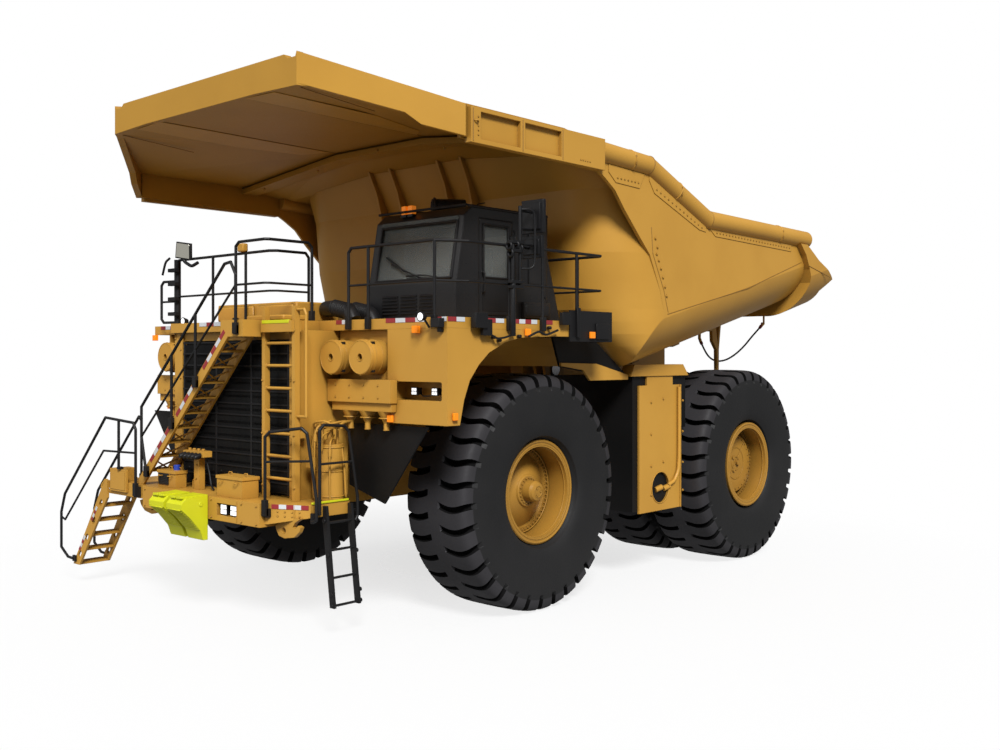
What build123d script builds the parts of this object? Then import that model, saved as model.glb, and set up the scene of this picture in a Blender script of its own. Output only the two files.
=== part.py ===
"""Mining dump truck: a rigid two-axle hauler with a tipping body.

Millimetres. +X is the truck's left (the cab side), +Y is the rear, +Z is up,
Z = 0 is the ground. Everything is drawn with the front axle at Y = 0 and is
moved to the shared frame by save(), so that the whole truck is centred.
"""
import os
from math import atan2, degrees, hypot, radians, tan

from build123d import *

os.makedirs("parts", exist_ok=True)

# ---------------------------------------------------------------- overall
wheelbase = 5900.0
front_axle_at = -2480.0       # where the front axle lies in the shared frame
part_gap = 6.0                # air between pieces that move past each other
pin_gap = 3.0                 # radial air round a pin

# ---------------------------------------------------------------- wheels
tyre_radius = 1790.0
tyre_half_width = 630.0
tyre_bead_radius = 724.0
rim_flange_radius = 792.0
rim_flange_thick = 45.0
rim_bore_radius = 684.0
front_rim_half = 440.0        # half the width between the flanges
rear_rim_half = 515.0
front_track_half = 2836.0
rear_outer_x = 3020.0
rear_inner_x = 1510.0
axle_z = tyre_radius
rear_axle_y = wheelbase

# ---------------------------------------------------------------- steering
kingpin_x = 1850.0
steer_arm_y = 800.0           # tie rod pins, straight behind the kingpins
tie_rod_z = 1400.0
tie_rod_radius = 42.0
tie_pin_radius = 45.0
strut_radius = 225.0
strut_bore = 176.0
strut_rod_radius = strut_bore - part_gap
strut_bottom_z = 2150.0
strut_top_z = 3560.0
spindle_radius = 235.0
spindle_end = 190.0           # past the middle of the front wheel
hub_bore = spindle_radius + part_gap
rear_spindle_radius = 430.0
rear_spindle_x = 2950.0

# ---------------------------------------------------------------- frame
rail_in = 480.0
rail_out = 760.0
rail_top_front = 2100.0
rail_nose_z = 1790.0          # rail top under the bumper walkway
rail_top_rear = 3250.0
rail_bottom_front = 1560.0
rail_bottom_rear = 2560.0
rail_front_y = -3450.0
pivot_y = rear_axle_y + 1250.0
rail_rear_y = pivot_y + 250.0
pivot_z = 2950.0
pivot_pin_radius = 85.0
strut_beam_z0 = 2900.0        # cross member that carries the front struts
strut_beam_z1 = 3400.0
strut_beam_half_y = 230.0

# ---------------------------------------------------------------- dump body
body_half_width = 4000.0
side_thick = 60.0
floor_thick = 70.0
floor_angle = 13.15           # the floor rises to the rear
floor_slope = tan(radians(floor_angle))
floor_z0 = 3143.0             # underside of the floor, carried forward to Y = 0
floor_half = 3000.0
top_rail_half = 110.0         # depth of the top rail's channel outside the wall
rail_outer_x = body_half_width + top_rail_half
beam_bottom_z = rail_top_rear + 30.0

# ---------------------------------------------------------------- hoist
hoist_x = 1100.0
hoist_base_y = 3500.0
hoist_base_z = 1450.0
hoist_top_y = 2950.0
hoist_top_z = 3600.0
hoist_barrel_r = 190.0
hoist_sleeve_r = 150.0
hoist_rod_r = 110.0
hoist_pin_r = 60.0
hoist_drift = 100.0           # how far the rod's pin travels along its bracket slot
hoist_eye_half = 70.0

# ---------------------------------------------------------------- front end
deck_top_z = 4360.0
deck_depth = 150.0
deck_low_z = deck_top_z - deck_depth
deck_sheet = 30.0
left_deck_front_y = -2570.0
left_deck_x = 3900.0
deck_rear_y = 950.0
right_deck_x = -3250.0
right_deck_front_y = -2570.0
middle_deck_front_y = -3250.0
bumper_front_y = -3800.0
bumper_half = 1520.0
bumper_low_z = 1500.0
bumper_top_z = 1830.0
bumper_plate = 25.0
tow_y = -3500.0
tow_x = 1700.0
tow_z = 1450.0
tow_hole_r = 45.0
grille_front_y = -3170.0
grille_half = 1380.0
grille_low_z = 1840.0
grille_top_z = 4080.0
post_width = 220.0

# ---------------------------------------------------------------- cab
cab_x0 = 1300.0
cab_x1 = 3150.0
cab_front_y = -1500.0
cab_rear_y = 400.0
cab_height = 1640.0
cab_top_z = deck_top_z + cab_height
cab_wall = 60.0
glass_thick = 12.0
window_low_z = deck_top_z + 630.0
window_top_z = deck_top_z + 1400.0
door_y0 = -1150.0             # free edge
door_y1 = -430.0              # hinged edge
door_z0 = deck_top_z + 80.0
door_z1 = deck_top_z + 1480.0


# ================================================================ helpers
def block(x0, x1, y0, y1, z0, z1):
    middle = Pos((x0 + x1) / 2, (y0 + y1) / 2, (z0 + z1) / 2)
    return middle * Box(abs(x1 - x0), abs(y1 - y0), abs(z1 - z0))


def bar(start, end, radius):
    a = Vector(*start)
    b = Vector(*end)
    return Solid.make_cylinder(radius, (b - a).length, Plane(origin=a, z_dir=b - a))


def ball(at, radius):
    return Pos(*at) * Sphere(radius)


def join(pieces):
    total = Part() + list(pieces)
    return total


def pipe(points, radius):
    """A bent tube: straight bars with a ball at each bend."""
    pieces = [bar(a, b, radius) for a, b in zip(points, points[1:])]
    pieces += [ball(p, radius) for p in points[1:-1]]
    return join(pieces)


def poly(points):
    return Face(Wire.make_polygon([Vector(*p) for p in points], close=True))


def side_plate(x0, x1, yz):
    """A plate seen in side view, from x0 to x1."""
    return Part() + Solid.extrude(poly([(x0, y, z) for y, z in yz]), Vector(x1 - x0, 0, 0))


def cross_plate(y0, y1, xz):
    """A plate seen from the front, from y0 to y1."""
    return Part() + Solid.extrude(poly([(x, y0, z) for x, z in xz]), Vector(0, y1 - y0, 0))


def flat_plate(z0, z1, xy):
    """A plate seen from above, from z0 to z1."""
    return Part() + Solid.extrude(poly([(x, y, z0) for x, y in xy]), Vector(0, 0, z1 - z0))


def sloping_slab(points, rise):
    """A sloping sheet: its lower outline, and its depth straight up."""
    return Part() + Solid.extrude(poly(points), Vector(0, 0, rise))


def turned(profile, at, across):
    """Turn (radius, distance) points about an X axis through (y, z)."""
    y, z = at
    face = poly([(across + d, y, z + r) for r, d in profile])
    return Part() + Solid.revolve(face, 360, Axis((0, y, z), (1, 0, 0)))


def flip(shape):
    return mirror(shape, about=Plane.YZ)


def both(shape):
    return [shape, flip(shape)]


def save(name, *pieces):
    solids = []
    for piece in pieces:
        solids += list(piece.solids())
    shape = solids[0] if len(solids) == 1 else Compound(children=solids)
    export_step(shape.moved(Location((0, front_axle_at, 0))), f"parts/{name}.step")


def floor_under(y):
    return floor_z0 + floor_slope * y


# ================================================================ tyres and rims
def tyre(side_x, y, rim_half):
    """One hollow tyre; its beads sit inside the rim flanges."""
    w = tyre_half_width
    outline = [
        (tyre_bead_radius, -rim_half),
        (rim_flange_radius + 5, -rim_half),
        (rim_flange_radius + 60, -0.93 * w),
        (1180, -w),
        (1480, -0.99 * w),
        (1660, -0.955 * w),
        (1745, -0.90 * w),
        (1780, -0.76 * w),
        (tyre_radius, -0.45 * w),
        (tyre_radius, 0.45 * w),
        (1780, 0.76 * w),
        (1745, 0.90 * w),
        (1660, 0.955 * w),
        (1480, 0.99 * w),
        (1180, w),
        (rim_flange_radius + 60, 0.93 * w),
        (rim_flange_radius + 5, rim_half),
        (tyre_bead_radius, rim_half),
        (tyre_bead_radius, rim_half - 75),
        (1150, 0.84 * w),
        (1500, 0.80 * w),
        (1610, 0.62 * w),
        (1610, -0.62 * w),
        (1500, -0.80 * w),
        (1150, -0.84 * w),
        (tyre_bead_radius, -rim_half + 75),
    ]
    return turned(outline, (y, axle_z), side_x)


def rim_barrel(across, y, rim_half):
    """Rim barrel with a flange at each side, radius and distance from the middle."""
    face = rim_half + rim_flange_thick
    outline = [
        (rim_bore_radius, -face),
        (rim_flange_radius, -face),
        (rim_flange_radius, -rim_half),
        (tyre_bead_radius, -rim_half),
        (tyre_bead_radius, rim_half),
        (rim_flange_radius, rim_half),
        (rim_flange_radius, face),
        (rim_bore_radius, face),
    ]
    return turned(outline, (y, axle_z), across)


rim_overlap = 5.0             # the wheel centre reaches this far into its barrel


def front_rim(hand):
    """Deep dish: a bolted ring well inside the barrel, a bell and a hub dome."""
    barrel = rim_barrel(hand * front_track_half, 0, front_rim_half)
    dish = turned(
        [
            (hub_bore, -420),
            (430, -420),
            (430, -120),
            (rim_bore_radius + rim_overlap, -60),
            (rim_bore_radius + rim_overlap, 95),
            (590, 95),
            (575, 55),
            (250, 235),
            (240, 262),
            (228, 270),
            (165, 276),
            (158, 410),
            (135, 450),
            (95, 465),
            (0, 465),
            (0, spindle_end + 10),
            (hub_bore, spindle_end + 10),
        ],
        (0, axle_z),
        0,
    )
    dish = Pos(front_track_half, 0, 0) * dish
    dish = dish if hand > 0 else flip(dish)
    return join([barrel, dish])


def rear_rims(hand):
    """Two barrels, the hub drum that carries both, and the final drive cover."""
    inner = rim_barrel(hand * rear_inner_x, rear_axle_y, rear_rim_half)
    outer = rim_barrel(hand * rear_outer_x, rear_axle_y, rear_rim_half)
    drum = turned(
        [
            (rear_spindle_radius + part_gap, rear_inner_x - 510),
            (600, rear_inner_x - 510),
            (600, rear_inner_x - 10),
            (rim_bore_radius + rim_overlap, rear_inner_x + 50),
            (rim_bore_radius + rim_overlap, rear_outer_x + 230),
            (640, rear_outer_x + 230),
            (625, rear_outer_x + 150),
            (570, rear_outer_x + 150),
            (555, rear_outer_x + 265),
            (535, rear_outer_x + 285),
            (0, rear_outer_x + 285),
            (0, rear_spindle_x + 60),
            (rear_spindle_radius + part_gap, rear_spindle_x + 60),
        ],
        (rear_axle_y, axle_z),
        0,
    )
    drum = drum if hand > 0 else flip(drum)
    return join([inner, outer, drum])


for hand, side in ((1, "left"), (-1, "right")):
    save(f"front_tyre_{side}", tyre(hand * front_track_half, 0, front_rim_half))
    save(f"front_rim_{side}", front_rim(hand))
    save(
        f"rear_tyres_{side}",
        tyre(hand * rear_inner_x, rear_axle_y, rear_rim_half),
        tyre(hand * rear_outer_x, rear_axle_y, rear_rim_half),
    )
    save(f"rear_rims_{side}", rear_rims(hand))

# ================================================================ main frame
rail_side = [
    (rail_front_y, rail_bottom_front),
    (rail_front_y, rail_nose_z),
    (-2700, rail_nose_z),
    (-2450, rail_top_front),
    (900, rail_top_front),
    (2000, rail_top_rear),
    (rail_rear_y - 100, rail_top_rear),
    (rail_rear_y, rail_top_rear - 170),
    (rail_rear_y, rail_bottom_rear + 180),
    (rail_rear_y - 350, rail_bottom_rear),
    (2700, rail_bottom_rear - 60),
    (1500, rail_bottom_front),
]
frame_pieces = both(side_plate(rail_in, rail_out, rail_side))
# Cross tubes: Y, Z, radius.
cross_tubes = [
    (-2300, 1830, 150),
    (1300, 1900, 150),
    (2600, 2880, 190),
    (4300, 2900, 150),
    (rear_axle_y + 550, 3090, 110),
]
tube_reach = rail_in + 20
for tube_y, tube_z, tube_r in cross_tubes:
    frame_pieces.append(bar((-tube_reach, tube_y, tube_z), (tube_reach, tube_y, tube_z), tube_r))
# Front cross member that carries the struts, and its uprights on the rails.
strut_beam = block(
    -kingpin_x - 40, kingpin_x + 40, -strut_beam_half_y, strut_beam_half_y, strut_beam_z0, strut_beam_z1
)
for x in (-kingpin_x, kingpin_x):
    strut_beam = strut_beam - bar((x, 0, strut_beam_z0 - 10), (x, 0, strut_beam_z1 + 10), strut_radius)
frame_pieces.append(strut_beam)
upright = block(
    rail_in, rail_out, -strut_beam_half_y, strut_beam_half_y, rail_top_front - 20, strut_beam_z0 + 20,
)
frame_pieces += both(upright)
# Hoist hangers outside the rails.
hanger = side_plate(
    rail_out - 10,
    rail_out + 60,
    [
        (hoist_base_y - 420, rail_bottom_rear + 60),
        (hoist_base_y + 420, rail_bottom_rear + 60),
        (hoist_base_y + 130, hoist_base_z - 110),
        (hoist_base_y - 130, hoist_base_z - 110),
    ],
)
hanger_pin = bar(
    (rail_out, hoist_base_y, hoist_base_z),
    (hoist_x + hoist_eye_half + 40, hoist_base_y, hoist_base_z),
    hoist_pin_r,
)
frame_pieces += both(hanger) + both(hanger_pin)
# Axle arm pivot under the mid cross tube.
arm_hanger = side_plate(250, 330, [(2450, 2800), (2750, 2800), (2800, 2050), (2640, 1950), (2480, 2050)])
frame_pieces += both(arm_hanger)
# Body pivot pin through the rear of the rails.
frame_pieces.append(bar((-rail_out, pivot_y, pivot_z), (rail_out, pivot_y, pivot_z), pivot_pin_radius))
save("main_frame", join(frame_pieces))

engine_top_z = 3700.0
engine_front_y = -2050.0
save(
    "engine_block",
    block(
        -rail_in + 10, rail_in - 10, engine_front_y, -strut_beam_half_y - 40, rail_top_front + 60,
        engine_top_z,
    ),
)

# ================================================================ struts and steering
strut_height = strut_top_z - strut_bottom_z
strut_cap = 60.0
strut_barrel = turned([
    (strut_bore, 0),
    (strut_radius, 0),
    (strut_radius, strut_height),
    (0, strut_height),
    (0, strut_height - strut_cap),
    (strut_bore, strut_height - strut_cap),
], (0, 0), 0)
# The barrel was turned about X; stand it on end at the kingpin.
strut_barrel = Pos(kingpin_x, 0, strut_bottom_z) * (Rot(0, -90, 0) * strut_barrel)
rear_strut_x = 270.0
rear_strut_foot = (rear_strut_x, rear_axle_y + 500, 2360)
rear_strut_head = (rear_strut_x, rear_axle_y + 550, 2975)
rear_strut = join([bar(rear_strut_foot, rear_strut_head, 95), ball(rear_strut_foot, 110)])
save("suspension_struts", *both(strut_barrel), *both(rear_strut))


def knuckle(hand):
    post = bar((kingpin_x, 0, 1330), (kingpin_x, 0, 3000), strut_rod_radius)
    body = block(kingpin_x - 240, kingpin_x + 240, -260, 260, 1450, strut_bottom_z - 60)
    spindle = bar((kingpin_x, 0, axle_z), (front_track_half + spindle_end, 0, axle_z), spindle_radius)
    arm = flat_plate(
        tie_rod_z + 60,
        tie_rod_z + 160,
        [
            (kingpin_x - 170, -150),
            (kingpin_x + 170, -150),
            (kingpin_x + 110, steer_arm_y + 90),
            (kingpin_x - 110, steer_arm_y + 90),
        ],
    )
    pin = bar(
        (kingpin_x, steer_arm_y, tie_rod_z - 70),
        (kingpin_x, steer_arm_y, tie_rod_z + 100),
        tie_pin_radius,
    )
    whole = join([post, body, spindle, arm, pin])
    return whole if hand > 0 else flip(whole)


save("knuckle_left", knuckle(1))
save("knuckle_right", knuckle(-1))

tie_eye_half = 50.0
tie_eye_radius = 100.0
tie_bar_end = kingpin_x - 60
tie = [bar((-tie_bar_end, steer_arm_y, tie_rod_z), (tie_bar_end, steer_arm_y, tie_rod_z), tie_rod_radius)]
for x in (-kingpin_x, kingpin_x):
    tie.append(
        bar(
            (x, steer_arm_y, tie_rod_z - tie_eye_half), (x, steer_arm_y, tie_rod_z + tie_eye_half),
            tie_eye_radius,
        ),
    )
tie_rod = join(tie)
for x in (-kingpin_x, kingpin_x):
    tie_rod = tie_rod - bar(
        (x, steer_arm_y, tie_rod_z - 90), (x, steer_arm_y, tie_rod_z + 90), tie_pin_radius + pin_gap,
    )
save("tie_rod", tie_rod)

# ================================================================ rear axle
housing_half = [
    (0, 0),
    (620, 0),
    (620, 380),
    (rear_spindle_radius, 720),
    (rear_spindle_radius, rear_spindle_x),
    (0, rear_spindle_x),
]
half_axle = turned(housing_half, (rear_axle_y, axle_z), 0)
arm_low_z = axle_z - 80
arm_rear_y = rear_axle_y - 450
axle_arm = flat_plate(
    arm_low_z, axle_z + 230, [(150, 2800), (245, 2800), (400, arm_rear_y), (200, arm_rear_y)],
)
arm_nose = block(-245, 245, 2520, 2900, arm_low_z, axle_z + 420)
strut_pad = block(160, 380, rear_axle_y + 280, rear_axle_y + 580, 2050, 2250)
save("rear_axle_housing", join([half_axle, flip(half_axle), *both(axle_arm), arm_nose, *both(strut_pad)]))

# ================================================================ side tanks
tank_y0 = 2520.0
tank_y1 = 3950.0
tank_z0 = 1200.0
tank_z1 = 3500.0
tank_x0 = 1420.0
tank_x1 = 3270.0
tank = block(tank_x0, tank_x1, tank_y0, tank_y1, tank_z0, tank_z1)
tank_saddle = block(rail_out, tank_x0 + 10, tank_y0 + 80, tank_y0 + 330, 2620, 3100)
tank_tail = block(tank_x0 + 400, tank_x1 - 10, tank_y1 - 10, tank_y1 + 240, 2570, tank_z1)
save("side_tanks", *both(join([tank, tank_saddle, tank_tail])))

shield_thick = 40.0
shield_x1 = tank_x1 + shield_thick
port_y = 3310.0
port_z = 1560.0
shield = block(tank_x1, shield_x1, tank_y0 + 150, tank_y1, tank_z0 - 40, tank_z1 - 160)
shield = shield - bar((tank_x1 - 50, port_y, port_z), (shield_x1 + 50, port_y, port_z), 270)
shield = join(
    [shield, block(tank_x1, shield_x1 + 20, tank_y1 - 30, tank_y1, tank_z0 - 40, tank_z1 - 160)],
)
shelf = side_plate(3100, tank_x1 + 60, [
    (tank_y0 - 120, tank_z1),
    (tank_y1 + 240, tank_z1),
    (tank_y1 + 60, tank_z1 + 200),
    (tank_y0 - 20, tank_z1 + 200),
])
shelf_web = block(tank_x1, shield_x1, 2900, 3700, tank_z1 - 200, tank_z1 + 40)
tank_guard = join([shield, shelf, shelf_web])

# Wheel arch panels behind the left front wheel: the inner black one hangs from
# the deck, and the outer yellow one joins it.
arch_x0 = 3200.0
arch_x1 = 3240.0
arch_knee_z = 4200.0          # below the body's rounded corner
arch_panel = side_plate(arch_x0, arch_x1, [
    (350, deck_top_z - deck_sheet),
    (deck_rear_y - deck_sheet, deck_top_z - deck_sheet),
    (deck_rear_y - deck_sheet, deck_low_z),
    (1500, arch_knee_z),
    (1560, arch_knee_z - 140),
    (2400, 3520),
    (2400, 3440),
    (600, 3680),
])
arch_strip = side_plate(arch_x1, arch_x1 + 40, [
    (580, 3740),
    (580, 3690),
    (1150, 3620),
    (1330, 3450),
    (2380, 3450),
    (2380, 3530),
    (1500, 3720),
])
save("tank_guard", tank_guard, arch_strip)

# ================================================================ hoist cylinders
hoist_run_y = hoist_top_y - hoist_base_y
hoist_run_z = hoist_top_z - hoist_base_z
hoist_closed = hypot(hoist_run_y, hoist_run_z)
hoist_lean = degrees(atan2(-hoist_run_y, hoist_run_z))
hoist_slide_gap = 4.0
hoist_eye_radius = 105.0
hoist_base_eye_radius = 120.0
bracket_gap = 10.0            # beside the rod eye
bracket_thick = 60.0
bracket_in = hoist_eye_half + bracket_gap
bracket_out = bracket_in + bracket_thick
bracket_slot_r = hoist_pin_r + 25
washer_radius = 110.0


def along_hoist(z0, z1, outer, inner=0.0):
    """A tube on the cylinder's own axis, z up from its lower pin."""
    tube = Pos(0, 0, (z0 + z1) / 2) * Cylinder(outer, z1 - z0)
    if inner:
        tube = tube - Pos(0, 0, (z0 + z1) / 2) * Cylinder(inner, z1 - z0 + 2)
    return tube


def across_hoist(z, radius, x0, x1):
    """A disc across the cylinder's axis, from x0 to x1 beside its middle."""
    return Pos((x0 + x1) / 2, 0, z) * (Rot(0, 90, 0) * Cylinder(radius, x1 - x0))


def place_hoist(shape):
    return Pos(hoist_x, hoist_base_y, hoist_base_z) * (Rot(hoist_lean, 0, 0) * shape)


barrel = along_hoist(100, 160, hoist_barrel_r)
barrel = barrel + along_hoist(150, 1880, hoist_barrel_r, hoist_sleeve_r + hoist_slide_gap)
barrel = barrel + across_hoist(
    0, hoist_base_eye_radius, -hoist_eye_half, hoist_eye_half,
) + along_hoist(60, 110, 110)
barrel = barrel - across_hoist(0, hoist_pin_r + pin_gap, -200, 200)
sleeve = along_hoist(175, 1940, hoist_sleeve_r, hoist_rod_r + hoist_slide_gap)
rod_head = across_hoist(hoist_closed, hoist_eye_radius, -hoist_eye_half, hoist_eye_half)
neck_long = 320.0             # flat neck that passes between the bracket plates
neck_wide = 170.0
rod_neck = Pos(0, 0, hoist_closed - neck_long / 2) * Box(2 * hoist_eye_half, neck_wide, neck_long)
rod = along_hoist(190, hoist_closed - neck_long + 30, hoist_rod_r) + rod_neck + rod_head
# The rod carries its own pin, and a washer outside each bracket plate.
rod = rod + across_hoist(hoist_closed, hoist_pin_r, -bracket_out - 30, bracket_out + 30)
for x0, x1 in ((-bracket_out - 30, -bracket_out - 10), (bracket_out + 10, bracket_out + 30)):
    rod = rod + across_hoist(hoist_closed, washer_radius, x0, x1)
save("hoist_barrels", *both(place_hoist(barrel)))
save("hoist_sleeves", *both(place_hoist(sleeve)))
save("hoist_rods", *both(place_hoist(rod)))

# ================================================================ dump body
# Belly section, square to the floor: distance from the middle, height.
# The corner from floor to side is one arc through these three points.
belly_arc = [
    (floor_half, 0),
    (floor_half + 0.64 * (body_half_width - floor_half), 185),
    (body_half_width, 740),
]
prism_front = -4500.0
prism_rear = 12500.0
prism_top = 6000.0


def belly_prism(grow, lift):
    """The long prism of the body along its floor; grow widens it on each side."""
    share = (body_half_width + grow) / body_half_width
    a, b, c = [Vector(x * share, prism_front, h) for x, h in belly_arc]
    d = Vector(c.X, prism_front, prism_top)
    d2, c2, b2, a2 = [Vector(-p.X, p.Y, p.Z) for p in (d, c, b, a)]
    ring = Wire([
        Edge.make_three_point_arc(a, b, c),
        Edge.make_line(c, d),
        Edge.make_line(d, d2),
        Edge.make_line(d2, c2),
        Edge.make_three_point_arc(c2, b2, a2),
        Edge.make_line(a2, a),
    ])
    prism = Part() + Solid.extrude(Face(ring), Vector(0, prism_rear - prism_front, 0))
    return Pos(0, 0, floor_z0 + lift) * (Rot(floor_angle, 0, 0) * prism)


# Front wall: at each height, where its middle lies and how round its corners are.
wall_levels = [
    # height, middle, corner radius
    (3500, 2500, 60),
    (3600, 2330, 140),
    (3720, 2150, 280),
    (3860, 1960, 450),
    (4000, 1800, 600),
    (4200, 1600, 780),
    (4400, 1450, 930),
    (4600, 1330, 1050),
    (5500, 1080, 1100),
    (6500, 980, 1120),
    (7100, 650, 1350),
    (7500, 420, 1500),
]
wall_rear_y = 12000.0


def wall_solid(inset):
    """Everything behind the front wall, moved in by inset on three sides."""
    half = body_half_width - inset
    sections = []
    for z, middle, radius in wall_levels:
        y = middle + inset
        r = radius - inset + 20
        centre = half - r
        bend = r * 0.70710678
        a = Vector(-half, wall_rear_y, z)
        b = Vector(-half, y + r, z)
        b_mid = Vector(-centre - bend, y + r - bend, z)
        c = Vector(-centre, y, z)
        d = Vector(centre, y, z)
        e_mid = Vector(centre + bend, y + r - bend, z)
        e = Vector(half, y + r, z)
        f = Vector(half, wall_rear_y, z)
        sections.append(Wire([
            Edge.make_line(a, b),
            Edge.make_three_point_arc(b, b_mid, c),
            Edge.make_line(c, d),
            Edge.make_three_point_arc(d, e_mid, e),
            Edge.make_line(e, f),
            Edge.make_line(f, a),
        ]))
    return Part() + Solid.make_loft(sections, ruled=True)


# Top rail tube in side view: Y, Z.
rail_start = (600.0, 6950.0)
rail_bend_a = (1940.0, 6900.0)
rail_bend_b = (3750.0, 6200.0)
rail_end = (rear_axle_y + 1600.0, 6150.0)
rail_tube_r = 168.0
wall_below_rail = 115.0       # from the tube's middle down to the side wall's top

# The side walls' and the tail's outline in side view.
tail_side = [
    (0, 2000),
    (0, rail_start[1] - wall_below_rail),
    (rail_start[0], rail_start[1] - wall_below_rail),
    (rail_bend_a[0], rail_bend_a[1] - wall_below_rail),
    (rail_bend_b[0], rail_bend_b[1] - wall_below_rail),
    (rear_axle_y + 1380, 6150 - wall_below_rail),
    (rear_axle_y + 1900, 5760),
    (rear_axle_y + 2740, 5440),
    (rear_axle_y + 3300, 5400),
    (rear_axle_y + 3300, 2000),
]
# The middle of the front wall rises to the canopy; the sides stop at the rails.
front_top = block(-body_half_width - 200, body_half_width + 200, -500, 2000, 6500, 7600)
region = side_plate(-5000, 5000, tail_side) + front_top
tub = (wall_solid(0) & belly_prism(0, 0)) & region
tub = tub - (wall_solid(side_thick) & belly_prism(-side_thick, floor_thick))
# Side panels stand ahead of the rounded corners.
panel_front_y = 600.0
panel_edge = [
    (panel_front_y, 6640),
    (750, 6560),
    (1010, 6400),
    (1270, 6120),
    (1680, 5730),
    (1960, 5470),
    (2250, 4920),
    (2400, 4480),
    (2700, 4600),
    (2700, rail_start[1] - 200),
    (1940, rail_start[1] - wall_below_rail - 50),
    (panel_front_y, rail_start[1] - wall_below_rail),
]
panel = side_plate(body_half_width - side_thick, body_half_width, panel_edge)
# Stiffening ribs up the front wall: distance from the middle.
rib_edge = [
    (500, 7200),
    (700, 6800),
    (810, 6430),
    (820, 6000),
    (900, 5400),
    (1200, 4700),
    (1380, 4500),
    (1360, 4640),
    (1150, 5440),
    (1050, 6450),
    (700, 7100),
    (640, 7300),
    (500, 7300),
]
rib_half = 20.0
ribs = []
for x in (600, 1150):
    ribs += both(side_plate(x - rib_half, x + rib_half, rib_edge))
tub = join([tub, *both(panel), *ribs])

# ---------------------------------------------------------------- canopy
# Its underside as flat panels: corners of each, X, Y, Z.
lip_y = -3810.0
lip_half = 2350.0
lip_low_z = 7430.0
lip_top_z = 7850.0
fold_x = 1100.0               # the underside's middle is flat to here
fold_y = -250.0
canopy_corner_y = -2440.0
canopy_back = 760.0
corner_back = 2110.0
side_low_z = 7110.0
canopy_plate = 50.0
right_panels = [
    [(fold_x, lip_y, 7440), (lip_half, lip_y, 7400), (fold_x, fold_y, 7430)],
    [(lip_half, lip_y, 7400), (body_half_width, canopy_corner_y, side_low_z), (fold_x, fold_y, 7430)],
    [
        (body_half_width, canopy_corner_y, side_low_z),
        (body_half_width, fold_y, side_low_z),
        (fold_x, fold_y, 7430),
    ],
    [(fold_x, fold_y, 7430), (body_half_width, fold_y, side_low_z), (body_half_width, canopy_back, 6940)],
    [(fold_x, fold_y, 7430), (body_half_width, canopy_back, 6940), (fold_x, canopy_back, 7130)],
    [
        (fold_x, canopy_back, 7130),
        (body_half_width, canopy_back, 6940),
        (body_half_width, corner_back, 6900),
    ],
]
middle_panels = [
    [(-fold_x, lip_y, 7440), (fold_x, lip_y, 7440), (fold_x, fold_y, 7430), (-fold_x, fold_y, 7430)],
    [
        (-fold_x, fold_y, 7430),
        (fold_x, fold_y, 7430),
        (fold_x, canopy_back, 7130),
        (-fold_x, canopy_back, 7130),
    ],
]


def panel_set(rise):
    found = [sloping_slab(points, rise) for points in middle_panels]
    for points in right_panels:
        slab = sloping_slab(points, rise)
        found += both(slab)
    return join(found)


tub = tub - panel_set(1500)
load_room = wall_solid(side_thick)
skirt = []
lip_outline = [
    (-lip_half, lip_low_z),
    (lip_half, lip_low_z),
    (lip_half, lip_top_z),
    (lip_half - 25, lip_top_z - 65),
    (lip_half - 190, lip_top_z - 65),
    (lip_half - 270, lip_top_z),
    (270 - lip_half, lip_top_z),
    (190 - lip_half, lip_top_z - 65),
    (25 - lip_half, lip_top_z - 65),
    (-lip_half, lip_top_z),
]
skirt.append(cross_plate(lip_y, lip_y + 110, lip_outline))
chamfer_slope = (canopy_corner_y - lip_y) / (rail_outer_x - lip_half)
chamfer_outline = [
    (lip_half, lip_low_z),
    (3480, 7020),
    (3650, 6860),
    (rail_outer_x, 6700),
    (rail_outer_x, 7120),
    (lip_half, lip_top_z),
]
chamfer = Part() + Solid.extrude(
    poly([(x, lip_y + chamfer_slope * (x - lip_half), z) for x, z in chamfer_outline]),
    Vector(-60, 90, 0),
)
skirt += both(chamfer)
canopy_side = side_plate(body_half_width - side_thick, body_half_width, [
    (canopy_corner_y + 20, 6700),
    (-1230, 6670),
    (panel_front_y, 6640),
    (panel_front_y, 7050),
    (fold_y, side_low_z + 30),
    (canopy_corner_y + 20, side_low_z + 30),
])
skirt += both(canopy_side)
# One cross bolster under the canopy.
bolster_top = 7400.0
skirt.append(cross_plate(-300, 60, [
    (-body_half_width + side_thick - 10, 7080),
    (-body_half_width + side_thick - 10, 6990),
    (-fold_x, 7300),
    (fold_x, 7300),
    (body_half_width - side_thick + 10, 6990),
    (body_half_width - side_thick + 10, 7080),
    (fold_x, bolster_top),
    (-fold_x, bolster_top),
]))
canopy = join([panel_set(canopy_plate), *skirt])
canopy = canopy - load_room - tub
save("canopy", canopy)
save("body_tub", tub)

# ---------------------------------------------------------------- top rails
channel = block(body_half_width, rail_outer_x, canopy_corner_y + 100, 600, 6640, 7110)
for y0, y1 in ((-2150, -1350), (-1250, -450)):
    channel = channel - block(body_half_width + 50, rail_outer_x + 10, y0, y1, 6700, 7060)
tube_x = rail_outer_x - rail_tube_r
rail_path = [(tube_x, y, z) for y, z in (rail_start, rail_bend_a, rail_bend_b, rail_end)]
top_rail = join([channel, pipe(rail_path, rail_tube_r)]) - tub - canopy
save("top_rails", *both(top_rail))

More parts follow.
